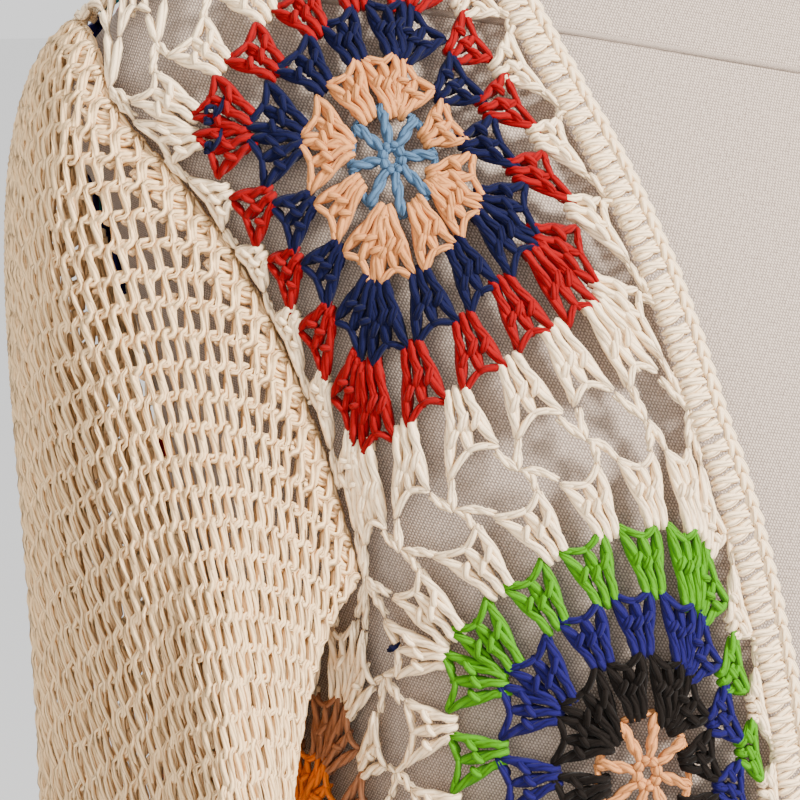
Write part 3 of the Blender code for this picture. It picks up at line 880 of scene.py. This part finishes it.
def loose_end(yarn, patch, place, colour, curl, tail):
    """A cut end left on the surface: a small curl of one strand, and its tail, in mm."""
    scale = np.array([patch.half_across, patch.half_down]) / MM
    t = np.linspace(0, 1, 24)
    turn = CURL_TURNS * t
    reach = curl * (1 - 0.5 * t) + tail * np.clip(t - 0.75, 0, 1)**2 * 16
    flat = np.array(place) + np.stack([np.cos(turn) * reach, np.sin(turn) * reach], -1) / scale
    height = (1.9 + 0.9 * np.sin(3.1 * turn)) * MM
    solid = np.concatenate([flat, height[:, None]], -1)[None]
    yarn.add(patch.place(solid), END_RADIUS * MM, colour)


# %% [markdown]
# ## The squares
# Twenty-two squares make the body: eight round it in each of three rows, less the two that
# the armholes take. The three in the photo have its colours, and two of them every strand.
# The others use the same yarns in other orders and fewer, thicker strands, which look
# alike from a step away and keep the file light. Worn squares are also stretched, so a
# square's rounds may be pulled off its middle or widened to one side.

# %% Colours of each square, from the centre out
COLUMN_NAMES = ["front_right", "side_right", "back_right_outer", "back_right_inner",
                "back_left_inner", "back_left_outer", "side_left", "front_left"]
ROW_NAMES = ["top", "middle", "lower"]
SQUARES = {
    (0, 0): ("slate", "tan", "navy", "red"), (1, 0): ("tan", "black", "royal", "green"),
    (1, 1): ("red", "green", "orange", "brown"),
    (0, 2): ("gold", "rose", "teal", "royal"), (0, 3): ("teal", "gold", "plum", "orange"),
    (0, 4): ("red", "tan", "royal", "green"), (0, 5): ("green", "slate", "gold", "plum"),
    (0, 7): ("rose", "gold", "navy", "teal"),
    (1, 2): ("slate", "gold", "navy", "red"), (1, 3): ("plum", "teal", "brown", "gold"),
    (1, 4): ("orange", "navy", "tan", "teal"), (1, 5): ("tan", "green", "plum", "orange"),
    (1, 6): ("red", "gold", "slate", "royal"), (1, 7): ("navy", "orange", "green", "red"),
    (2, 0): ("red", "royal", "tan", "gold"), (2, 1): ("gold", "orange", "plum", "royal"),
    (2, 2): ("green", "rose", "slate", "plum"), (2, 3): ("navy", "tan", "orange", "green"),
    (2, 4): ("royal", "gold", "teal", "brown"), (2, 5): ("orange", "slate", "navy", "red"),
    (2, 6): ("rose", "teal", "gold", "green"), (2, 7): ("slate", "red", "brown", "orange"),
}

# %% How they hang, and how finely they are made
HANGING_PULL = (0.0, -0.05)
PULLED = {(0, 0): (0.05, -0.10), (0, 7): (-0.05, -0.10), (1, 0): (-0.32, -0.03)}
WIDENED = {(0, 0): (0.22, 0.44)}
DETAILS = {(0, 0): FULL, (1, 0): FULL, (1, 1): MEDIUM}
print(f"{len(SQUARES)} squares, {len(DETAILS)} of them seen close")

# %% Cut ends that show in the photo
LooseEnd = namedtuple("LooseEnd", "square place colour curl tail")
LOOSE_ENDS = [
    LooseEnd((0, 0), (0.70, -0.60), "navy", 1.9, 3.5),
    LooseEnd((0, 0), (0.79, -0.53), "navy", 0.9, 4.0),
    LooseEnd((1, 0), (0.93, -0.73), "navy", 0.3, 1.3),
]

# %% Make the squares
for (row, column), colours in SQUARES.items():
    node = f"square_{ROW_NAMES[row]}_{COLUMN_NAMES[column]}"
    patch = square_patch(row, column, PULLED.get((row, column), HANGING_PULL))
    yarn = crochet_square(patch, (*colours, "cream"), DETAILS.get((row, column), PLAIN),
                          WIDENED.get((row, column), EVENLY))
    for end in LOOSE_ENDS:
        if end.square == (row, column):
            loose_end(yarn, patch, end.place, end.colour, end.curl, end.tail)
    slot = next(s["material_slot"] for s in frame["record"]["subparts"] if s["node"] == node)
    piece = yarn.make(f"crochet_{node}", node, slot)


# %% [markdown]
# ## Bands
# The edges are finished with a row of thick posts worked across the band, gripped along
# the outer edge by a flat chain. The band could be one long tube with a bumped texture,
# but its loops stand out against the linen, so each post is three strands. A long narrow
# patch runs up one front, round the neck and down the other, and the stitches follow it.
# The posts also lie over the edge of the squares, so laid flat the band is twice as wide.


# %% Lines of the band
EDGE_POINTS = 40
NECK_POINTS = 20
NECK_LIFT = 0.0012


def front_edge(side, past):
    """A line up the edge of one front, from the hem to the neck."""
    column = 0 if side < 0 else COLUMNS
    levels = np.linspace(HEM_LINE - HEM_HEIGHT, row_height(column, 1), EDGE_POINTS)
    lower = np.array([body_point(column, height, past) for height in levels])
    upper = top_line(column, past=past)[::-1]
    return np.concatenate([lower, upper[1:]])


def band_line(past):
    """A line up one front, round the neck and down the other."""
    shares = np.linspace(0, 1, NECK_POINTS + 1)[1:]
    neck = np.array([cast_from_shoulder(*neck_line(share, past)) for share in shares])
    neck[:, 2] += NECK_LIFT
    other = neck[-2::-1] * (-1, 1, 1)
    return np.concatenate([front_edge(-1, past), neck, other, front_edge(1, past)[::-1]])


def even_line(line, count):
    """The same line as evenly spaced places, and its length."""
    length = np.concatenate([[0], np.cumsum(np.linalg.norm(np.diff(line, axis=0), axis=1))])
    even = np.linspace(0, length[-1], count)
    return np.stack([np.interp(even, length, line[:, k]) for k in range(3)], 1), length[-1]


# %% Band patch
BAND_STITCH = 0.0040
BAND_GAP = 0.0005
BAND_POINTS = 700
inner_edge, band_length = even_line(band_line(BAND_GAP), BAND_POINTS)
outer_edge, _ = even_line(band_line(BAND_WIDTH), BAND_POINTS)
band_patch = Patch(np.array([outer_edge * (1 - t) + inner_edge * t
                             for t in np.linspace(0, 1, 5)]))
print(f"the band is {band_length:.3f} m long")

# %% Stitches of a band
POST_TWISTS = (0.0, 2.1, 4.2)
POST_REACH = 1.40
POST_LENGTH = 1.95
POST_RADIUS = 1.0
CHAIN_RADIUS = 1.05
CHAIN_LINES = ((-0.62, 0.16), (-0.92, -0.12))


def crochet_band(yarn, patch, length, stitch, colour="cream"):
    """Slanted stitches across a strip, gripped by a chain of loops along its top edge."""
    count = int(length / stitch)
    along = (np.arange(count) + 0.5) / count * 2 - 1
    step = 2 / count
    t = np.linspace(0, 1, 7)
    for twist in POST_TWISTS:
        slant = along[:, None] + step * (0.9 * (t - 0.5) + 0.26 * np.cos(twist + 3 * t))
        slant = slant + rng.normal(0, 0.06 * step, (count, 1))
        down = np.broadcast_to(POST_REACH - POST_LENGTH * t, slant.shape)
        height = (0.7 + 1.1 * np.sin(math.pi * t) + 0.45 * np.sin(twist + 3 * t)) * MM
        solid = np.stack([slant, down, np.broadcast_to(height, slant.shape)], -1)
        yarn.add(patch.place(solid), POST_RADIUS * MM, colour, 4)
    t = np.linspace(0, 1, 6)
    for place, lean in CHAIN_LINES:
        slant = along[:, None] + step * 1.25 * (t - 0.5)
        down = place + lean * np.cos(math.pi * t) + rng.normal(0, 0.03, (count, 1))
        height = (1.2 + 0.7 * np.sin(math.pi * t)) * MM
        solid = np.stack([slant, down, np.broadcast_to(height, slant.shape)], -1)
        yarn.add(patch.place(solid), CHAIN_RADIUS * MM, colour, 4)


# %% Front and neck band
band = Yarn()
crochet_band(band, band_patch, band_length, BAND_STITCH)
band_piece = band.make("crochet_band_front_and_neck", "band_front_and_neck", "cotton_cream")

# %% [markdown]
# ## Hem
# The hem is two rows of the same stitch round the lowest squares, open at the front. Each
# row is its own strip between the hem's top line and its foot, so the function is reused.

# %% Hem band
HEM_ROWS = 2
HEM_STITCH = 0.0104
HEM_POINTS = 240
HEM_GAP = 0.001
hem_columns = np.linspace(0, COLUMNS, HEM_POINTS)
hem_top = np.array([body_point(c, HEM_LINE - HEM_GAP) for c in hem_columns])
hem_foot = np.array([body_point(c, HEM_LINE - HEM_HEIGHT) for c in hem_columns])
hem_length = np.linalg.norm(np.diff(hem_top, axis=0), axis=1).sum()
hem = Yarn()
for k in range(HEM_ROWS):
    shares = np.linspace(k / HEM_ROWS, (k + 1) / HEM_ROWS, 4)
    rows = np.array([hem_top * (1 - t) + hem_foot * t for t in shares])
    crochet_band(hem, Patch(rows), hem_length, HEM_STITCH)
hem_piece = hem.make("crochet_band_hem", "band_hem", "cotton_cream")


# %% [markdown]
# ## Shape of the sleeves
# A sleeve is a tube worked in the round. It leaves the armhole slantwise and hangs almost
# straight from just below the underarm, in a few soft upright folds. The tube could be
# swept along a curve, but the armhole isn't level, so each place on it goes to its own
# place on the first level ring by a smooth curve. The folds move the rings in and out.

# %% Folds and rings
SLEEVE_STEPS = 96
SHOULDER_RINGS = 30
LEVEL_RINGS = 40
SQUARENESS = 0.85
Fold = namedtuple("Fold", "place half_width depth")
FOLDS = [
    Fold(0.055, 0.030, 0.0035),
    Fold(0.125, 0.026, -0.0065),
    Fold(0.195, 0.028, 0.0036),
    Fold(0.290, 0.024, -0.0085),
    Fold(0.350, 0.030, -0.0010),
    Fold(0.620, 0.040, -0.0035),
    Fold(0.730, 0.030, 0.0020),
    Fold(0.840, 0.034, -0.0040),
    Fold(0.930, 0.026, 0.0020),
]


def armhole(side):
    """Even places round the armhole, down the front and up the back."""
    def at(column):
        return column if side < 0 else COLUMNS - column

    front = top_line(at(1))
    under = np.array([body_point(at(c), row_height(at(c), 1)) for c in np.linspace(1, 2, 25)])
    rear = top_line(at(2))[::-1]
    return even_line(np.concatenate([front, under[1:-1], rear]), SLEEVE_STEPS + 1)[0]


def sleeve_ring(side, height):
    """A level ring round the hanging sleeve, a little squarer than an ellipse."""
    centre_x, centre_y, thick, depth = read_table(SLEEVE, height, SLEEVE_COLUMNS)
    turn = np.arange(SLEEVE_STEPS + 1) / SLEEVE_STEPS * 2 * math.pi
    out = np.sign(np.cos(turn)) * np.abs(np.cos(turn))**SQUARENESS
    ahead = np.sign(np.sin(turn)) * np.abs(np.sin(turn))**SQUARENESS
    return np.stack([side * (centre_x + thick * out), centre_y - depth * ahead,
                     np.full(turn.shape, height)], 1)


# %% Sleeve surface
SEAM_LIFT = 0.0012
LEAVE_OUT = 0.46
LEAVE_DOWN = 0.25
ARRIVE_DOWN = 1.1
FOLDS_GROW = (-0.15, 3.0)


def hang_from(loop, side):
    """Rings from the armhole to the first level ring of the sleeve."""
    start = loop + np.array([side * SEAM_LIFT, 0, 0])
    end = sleeve_ring(side, SLEEVE_HANGS_FROM)
    reach = np.linalg.norm(end - start, axis=1)[:, None]
    leave = np.array([side * LEAVE_OUT, 0, -LEAVE_DOWN]) * reach
    arrive = np.array([0, 0, -1.0]) * reach * ARRIVE_DOWN
    return [start * (2 * t**3 - 3 * t**2 + 1) + leave * (t**3 - 2 * t**2 + t)
            + end * (3 * t**2 - 2 * t**3) + arrive * (t**3 - t**2)
            for t in np.linspace(0, 1, SHOULDER_RINGS)]


def sleeve_grid(side):
    """The whole sleeve as rings of places, even in length down each line."""
    rings = hang_from(armhole(side), side)
    rings += [sleeve_ring(side, height)
              for height in np.linspace(SLEEVE_HANGS_FROM, CUFF_TOP, LEVEL_RINGS)[1:]]
    grid = np.array(rings)
    for k in range(grid.shape[1]):
        grid[:, k] = even_line(grid[:, k], len(rings))[0]
    share = np.linspace(0, 1, SLEEVE_STEPS + 1)
    folds = sum(fold.depth * np.exp(-((share - fold.place) / fold.half_width)**2)
                for fold in FOLDS)
    fall = np.clip(np.linspace(*FOLDS_GROW, len(rings)), 0, 1)**1.5
    outward = grid - grid[:, :-1].mean(1, keepdims=True)
    outward[..., 2] = 0
    outward /= np.linalg.norm(outward, axis=2, keepdims=True)
    grid += outward * (fall[:, None] * folds)[..., None]
    return grid if side < 0 else grid[:, ::-1]


# %% [markdown]
# ## Net
# The sleeve is an open net: upright strands lean to one neighbour and then to the other,
# which leaves staggered upright holes. A Wireframe modifier on a grid would give a net too,
# but a flat and even one. Where the photo shows the right sleeve, a strand is two thin
# ones wound together, and a yarn over grips each pair of strands where they meet.
# Elsewhere a strand is one plain tube, and the left sleeve has fewer and thicker ones.

# %% Net
NET_ROW = 0.0046
NET_CROWD = 0.25
FINE_SHARE = 0.42
FINE_BEHIND = 0.90
FINE_DOWN = 0.49
NET_LEAN = 0.30
NET_WANDER = 0.10
PAIR_APART = 0.18
PAIR_RADIUS = 0.70
SINGLE_RADIUS = 0.84
KNOT_RADIUS = 0.80
NET_PITCH = 0.0040
NET_SIDES = 3
Net = namedtuple("Net", "wales fine radius")
NETS = {-1: Net(92, True, 1.2), 1: Net(55, False, 1.5)}


def net_down(row, rows):
    """The rows lie closer near the armhole and are drawn longer further down."""
    share = row / rows
    return -1 + 2 * (share - NET_CROWD * np.sin(math.pi * share) / math.pi)


# %% Upright strands of the net
def net_wales(yarn, patch, net, rows, noise, chosen, span, per_row=2, strands=1):
    """Upright strands between two rows: each leans to one neighbour, then to the other."""
    pitch = 2 / net.wales
    t = np.linspace(span[0], span[1], (span[1] - span[0]) * per_row + 1)
    lean = np.where(chosen % 2 == 0, 1, -1)[:, None]
    sway = np.cos(math.pi * t)[None] * lean
    wander = np.array([np.interp(t, np.arange(rows + 1), noise[wale]) for wale in chosen])
    across = -1 + pitch * (chosen[:, None] + 0.5 + NET_LEAN * sway + 0.5 * wander)
    down = np.broadcast_to(net_down(t, rows), across.shape)
    height = 0.5 * np.abs(sway) + 0.3 * wander
    spread = patch.width_at(down) / net.wales / NET_PITCH
    radius = net.radius * (PAIR_RADIUS if strands == 2 else SINGLE_RADIUS) * spread**1.4
    for k in range(strands):
        phase = math.pi * (k + t / 1.5)
        apart = PAIR_APART * (strands - 1)
        solid = np.stack([across + pitch * apart * np.cos(phase), down,
                          (height + 0.5 * (strands - 1) * np.sin(phase)) * MM], -1)
        # The net's yarn, shaded_cream, is the cream yarn with painted shade.
        yarn.add(patch.place(solid), radius * MM, "shaded_cream", NET_SIDES)


# %% Yarn overs of the net
def net_knots(yarn, patch, net, rows, chosen, last):
    """The yarn over where two leaning strands meet."""
    meets = [(w, r) for r in range(last) for w in chosen if (w + r) % 2 == 0]
    w, r = np.array(meets).T
    pitch, step = 2 / net.wales, 2 / rows
    t = np.linspace(0, 1, 5)
    middle_x = -1 + pitch * (w + 1.0) + rng.normal(0, 0.05 * pitch, len(w))
    middle_y = net_down(r, rows) + rng.normal(0, 0.10 * step, len(w))
    x = middle_x[:, None] + pitch * 0.70 * (t - 0.5)
    y = middle_y[:, None] + step * 0.45 * np.cos(math.pi * t)
    h = np.broadcast_to((0.5 + 1.35 * np.sin(math.pi * t)) * MM, x.shape)
    solid = np.stack([np.clip(x, -1, 1), np.clip(y, -1, 1), h], -1)
    spread = patch.width_at(solid[..., 1]) / net.wales / NET_PITCH
    yarn.add(patch.place(solid), net.radius * KNOT_RADIUS * spread**1.2 * MM, "shaded_cream", 4)


# %% One sleeve
SEAM_STITCH = 0.0066


def crochet_net(yarn, patch, net, rows, side):
    """The whole net of one sleeve, finer where the photo shows it."""
    noise = rng.normal(0, NET_WANDER, (net.wales, rows + 1))
    wales = np.arange(net.wales)
    if not net.fine:
        net_wales(yarn, patch, net, rows, noise, wales, (0, rows))
        return
    fine_rows = int(rows * FINE_DOWN)
    share = (wales + 0.5) / net.wales if side < 0 else 1 - (wales + 0.5) / net.wales
    seen = (share < FINE_SHARE) | (share > FINE_BEHIND)
    net_wales(yarn, patch, net, rows, noise, wales[seen], (0, fine_rows + 1), per_row=3,
              strands=2)
    net_knots(yarn, patch, net, rows, wales[seen], fine_rows)
    net_wales(yarn, patch, net, rows, noise, wales[~seen], (0, fine_rows + 1))
    net_wales(yarn, patch, net, rows, noise, wales, (fine_rows, rows))


def make_sleeve(side, name):
    """The net from the armhole to the cuff, with a row of stitches along the armhole."""
    net = NETS[side]
    grid = sleeve_grid(side)
    patch = Patch(grid, closed=True)
    lengths = np.linalg.norm(np.diff(grid, axis=0), axis=2).sum(0)
    rows = int(lengths.mean() / NET_ROW)
    sleeve = Yarn()
    crochet_net(sleeve, patch, net, rows, side)
    seam_length = np.linalg.norm(np.diff(grid[0], axis=0), axis=1).sum()
    crochet_band(sleeve, Patch(grid[:2], closed=True), seam_length, SEAM_STITCH, "shaded_cream")
    piece = sleeve.make(f"crochet_sleeve_{name}", f"sleeve_{name}", "cotton_cream")
    return piece


# %% One cuff
CUFF_RINGS = 8
CUFF_STITCH = 0.0056
CUFF_GAP = 0.001


def make_cuff(side, name, sleeve_piece):
    """A short strip round the end of the sleeve, in the stitch of the bands."""
    heights = np.linspace(CUFF_TOP - CUFF_GAP, CUFF_END, CUFF_RINGS)
    rings = np.array([sleeve_ring(side, height) for height in heights])
    patch = Patch(rings if side < 0 else rings[:, ::-1], closed=True)
    cuff = Yarn()
    crochet_band(cuff, patch, 2 * patch.half_across, CUFF_STITCH, "shaded_cream")
    piece = cuff.make(f"crochet_cuff_{name}", f"cuff_{name}", "cotton_cream")


# %% [markdown]
# ## Both sleeves and cuffs
# Each sleeve is one tube of net, sewn in with a row of slanted stitches along the armhole.
# The cuff is worked on at its end, in the stitch of the bands. The two sides differ only
# in their sign and in how fine the net is, so one function makes each kind of piece.

# %% Make the sleeves and cuffs
for side, name in ((-1, "right"), (1, "left")):
    make_cuff(side, name, make_sleeve(side, name))

# %% [markdown]
# ## Linen
# The form is covered in undyed linen, a plain weave: each thread goes over one and under
# the next. Its threads are too many to model. Two sines, one for each direction, say which
# thread is on top at a place. Their product and height bump the cover, and darken it as
# painted shade where a thread dips under another. Some noise makes the threads uneven, as
# spun flax is. Those across it are the thicker ones.

# %% Linen
THREADS_ACROSS = 2560
THREADS_UP = 1450
THREAD_DRIFT = 0.6
SPINNING_SCALE = 900
LINEN_SHADE_AND_SLUB = (0.085, 0.064, 0.050)
LINEN_LIGHT = (0.51, 0.415, 0.35)
linen, tree, shader = new_material("linen", LINEN_LIGHT, 0.85)
shader.inputs["Specular IOR Level"].default_value = 0.2
uv, across, up = split_uv(tree)
wobble = tree.nodes.new("ShaderNodeTexNoise")
tree.links.new(uv, wobble.inputs["Vector"])
wobble.inputs["Scale"].default_value = SPINNING_SCALE
wobble.inputs["Detail"].default_value = 2
drift = maths(tree, "MULTIPLY", maths(tree, "SUBTRACT", wobble.outputs["Fac"], 0.5),
              THREAD_DRIFT)
column_phase = maths(tree, "ADD", maths(tree, "MULTIPLY", across, THREADS_ACROSS), drift)
row_phase = maths(tree, "ADD", maths(tree, "MULTIPLY", up, THREADS_UP), drift)
over_column = maths(tree, "SINE", maths(tree, "MULTIPLY", column_phase, math.pi))
over_row = maths(tree, "SINE", maths(tree, "MULTIPLY", row_phase, math.pi))

# %% Weave, tint and bump of the linen
WEAVE_SHARE = 0.55
WEAVE_SHADE_SHARE = 0.9
UNEVEN_SHARE = 0.50
parity = maths(tree, "MULTIPLY", over_column, over_row)
weave = maths(tree, "ADD", maths(tree, "MULTIPLY", parity, WEAVE_SHARE),
              maths(tree, "MULTIPLY", maths(tree, "ABSOLUTE", over_row), WEAVE_SHARE))
# The weave's share of the tone is painted shade between and under threads; the noise is the
# threads' own uneven tone.
tone = maths(tree, "ADD", maths(tree, "MULTIPLY", weave, WEAVE_SHADE_SHARE),
             maths(tree, "MULTIPLY", wobble.outputs["Fac"], UNEVEN_SHARE))
tree.links.new(mix_colours(tree, tone, LINEN_SHADE_AND_SLUB, LINEN_LIGHT), shader.inputs["Base Color"])
bump_to(tree, shader, weave, 0.5, 0.0002)
print(f"linen threads {1 / THREADS_ACROSS / MM:.2f} mm up, {1 / THREADS_UP / MM:.2f} mm across")

# %% [markdown]
# ## Cover of the form
# The linen is drawn tight over a padded body with no arms. A subdivided primitive would
# need sculpting, but the body's level sections are known, so a flat grid is rolled up: its
# columns go round the body and its rows up it. Each corner first gets its distance round
# and its height as UV, in metres and a little off the straight grain, as the linen is cut.
# The doubles along the back are merged, the two ends closed, and the faces turned outwards.

# %% Form cover
GRAIN_RISE = 0.16
COVER_AROUND = 112
COVER_LEVELS = 62
shape = bmesh.new()
bmesh.ops.create_grid(shape, x_segments=COVER_AROUND, y_segments=COVER_LEVELS, size=0.5)
grain = shape.loops.layers.uv.new("UVMap")
foot, head = FORM[0].height, FORM[-1].height
outlines = {}
for vertex in shape.verts:
    height = foot + (head - foot) * (vertex.co.y + 0.5)
    key = round(vertex.co.y, 4)
    if key not in outlines:
        outlines[key] = outline(FORM, height)
    x, y, length = outlines[key]
    distance = vertex.co.x * length[-1]
    for loop in vertex.link_loops:
        loop[grain].uv = (distance, height - GRAIN_RISE * distance)
    at = distance % length[-1]
    vertex.co = (np.interp(at, length, x), np.interp(at, length, y), height)
bmesh.ops.remove_doubles(shape, verts=shape.verts, dist=1e-5)
bmesh.ops.holes_fill(shape, edges=[edge for edge in shape.edges if edge.is_boundary], sides=0)
bmesh.ops.recalc_face_normals(shape, faces=shape.faces)
mesh = bpy.data.meshes.new("form_cover")
shape.to_mesh(mesh)
shape.free()
mesh.materials.append(linen)
mesh.shade_smooth()
form_cover = bpy.data.objects.new("form_cover", mesh)
bpy.context.scene.collection.objects.link(form_cover)
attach(form_cover, "root")
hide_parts("form_torso")
print(f"cover: {len(mesh.polygons)} faces from {foot} to {head} m")

# %% [markdown]
# ## Seam of the form
# The cover is cut above the chest, where the body turns in to the shoulders, and its seam
# shows as a fine ridge. It could be a groove in the cover's mesh, but that needs many more
# faces. A closed curve on the cover's own outlines, with a thin round bevel, is enough.

# %% Seam round the neck
SEAM_FRONT = 1.338
SEAM_SIDE = 1.358
SEAM_POINTS = 120
seam = bpy.data.curves.new("form_neck_seam", "CURVE")
seam.dimensions = "3D"
seam.bevel_depth = 0.0009
seam.bevel_resolution = 1
line = seam.splines.new("POLY")
line.points.add(SEAM_POINTS - 1)
for k, point in enumerate(line.points):
    turn = 2 * math.pi * k / SEAM_POINTS
    height = SEAM_FRONT + (SEAM_SIDE - SEAM_FRONT) * abs(math.sin(turn))
    x, y, length = outline(FORM, height)
    at = length[-1] * k / SEAM_POINTS
    point.co = (np.interp(at, length, x), np.interp(at, length, y), height, 1)
line.use_cyclic_u = True
seam.materials.append(linen)
seam_piece = bpy.data.objects.new("form_neck_seam", seam)
bpy.context.scene.collection.objects.link(seam_piece)
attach(seam_piece, "root")
print(f"neck seam from {SEAM_FRONT} m in front to {SEAM_SIDE} m at the sides")

# %% [markdown]
# ## Stand
# A pole and a heavy round base of dark brushed steel hold the form up, with a maple collar
# under it and a maple cap on its neck. None of them shows in the photo, so they are plain.
# The CAD pieces already have the right shape and keep their meshes: they only get their
# materials. Noise drawn out up the maple is its grain, and noise squeezed up the steel is
# the marks of a brush that went round it.

# %% Grain of wood and of brushed steel
GRAIN_FLOOR = 0.32
GRAIN_GAIN = 2.6


def grained(name, dark, light, stretch, scale, roughness, metallic=0.0):
    """Noise drawn out or squeezed along Z: wood grain, or the fine marks of a brush."""
    made, tree, shader = new_material(name, light, roughness)
    shader.inputs["Metallic"].default_value = metallic
    place = tree.nodes.new("ShaderNodeTexCoord")
    mapping = tree.nodes.new("ShaderNodeMapping")
    mapping.inputs["Scale"].default_value = stretch
    noise = tree.nodes.new("ShaderNodeTexNoise")
    noise.inputs["Scale"].default_value = scale
    noise.inputs["Detail"].default_value = 6
    noise.inputs["Roughness"].default_value = 0.65
    tree.links.new(place.outputs["Object"], mapping.inputs[0])
    tree.links.new(mapping.outputs[0], noise.inputs["Vector"])
    band = maths(tree, "MULTIPLY", maths(tree, "SUBTRACT", noise.outputs["Fac"], GRAIN_FLOOR),
                 GRAIN_GAIN)
    clear = maths(tree, "MINIMUM", maths(tree, "MAXIMUM", band, 0), 1)
    tree.links.new(mix_colours(tree, clear, dark, light), shader.inputs["Base Color"])
    bump_to(tree, shader, noise.outputs["Fac"], 0.25, 0.0002)
    return made


# %% Finishes of the stand
steel = grained("stand_steel", (0.055, 0.055, 0.06), (0.12, 0.12, 0.125), (1, 1, 12), 90, 0.38,
                metallic=0.7)
maple = grained("stand_maple", (0.36, 0.20, 0.10), (0.62, 0.42, 0.25), (1, 1, 0.12), 85, 0.45)
for name, finish in (("stand_base", steel), ("stand_pole", steel), ("stand_collar", maple),
                     ("neck_cap", maple)):
    node = frame["nodes"][name]
    node.data.materials.clear()
    node.data.materials.append(finish)
    print(f"{name}: {finish.name}")

# %% [markdown]
# ## Finish of the floor
# The floor is plain and pale, so that nothing competes with the yarn.

# %% Plain floor
plain, _, shader = new_material("plain_floor", (0.86, 0.86, 0.86), 0.9)
floor_mesh.materials.append(plain)
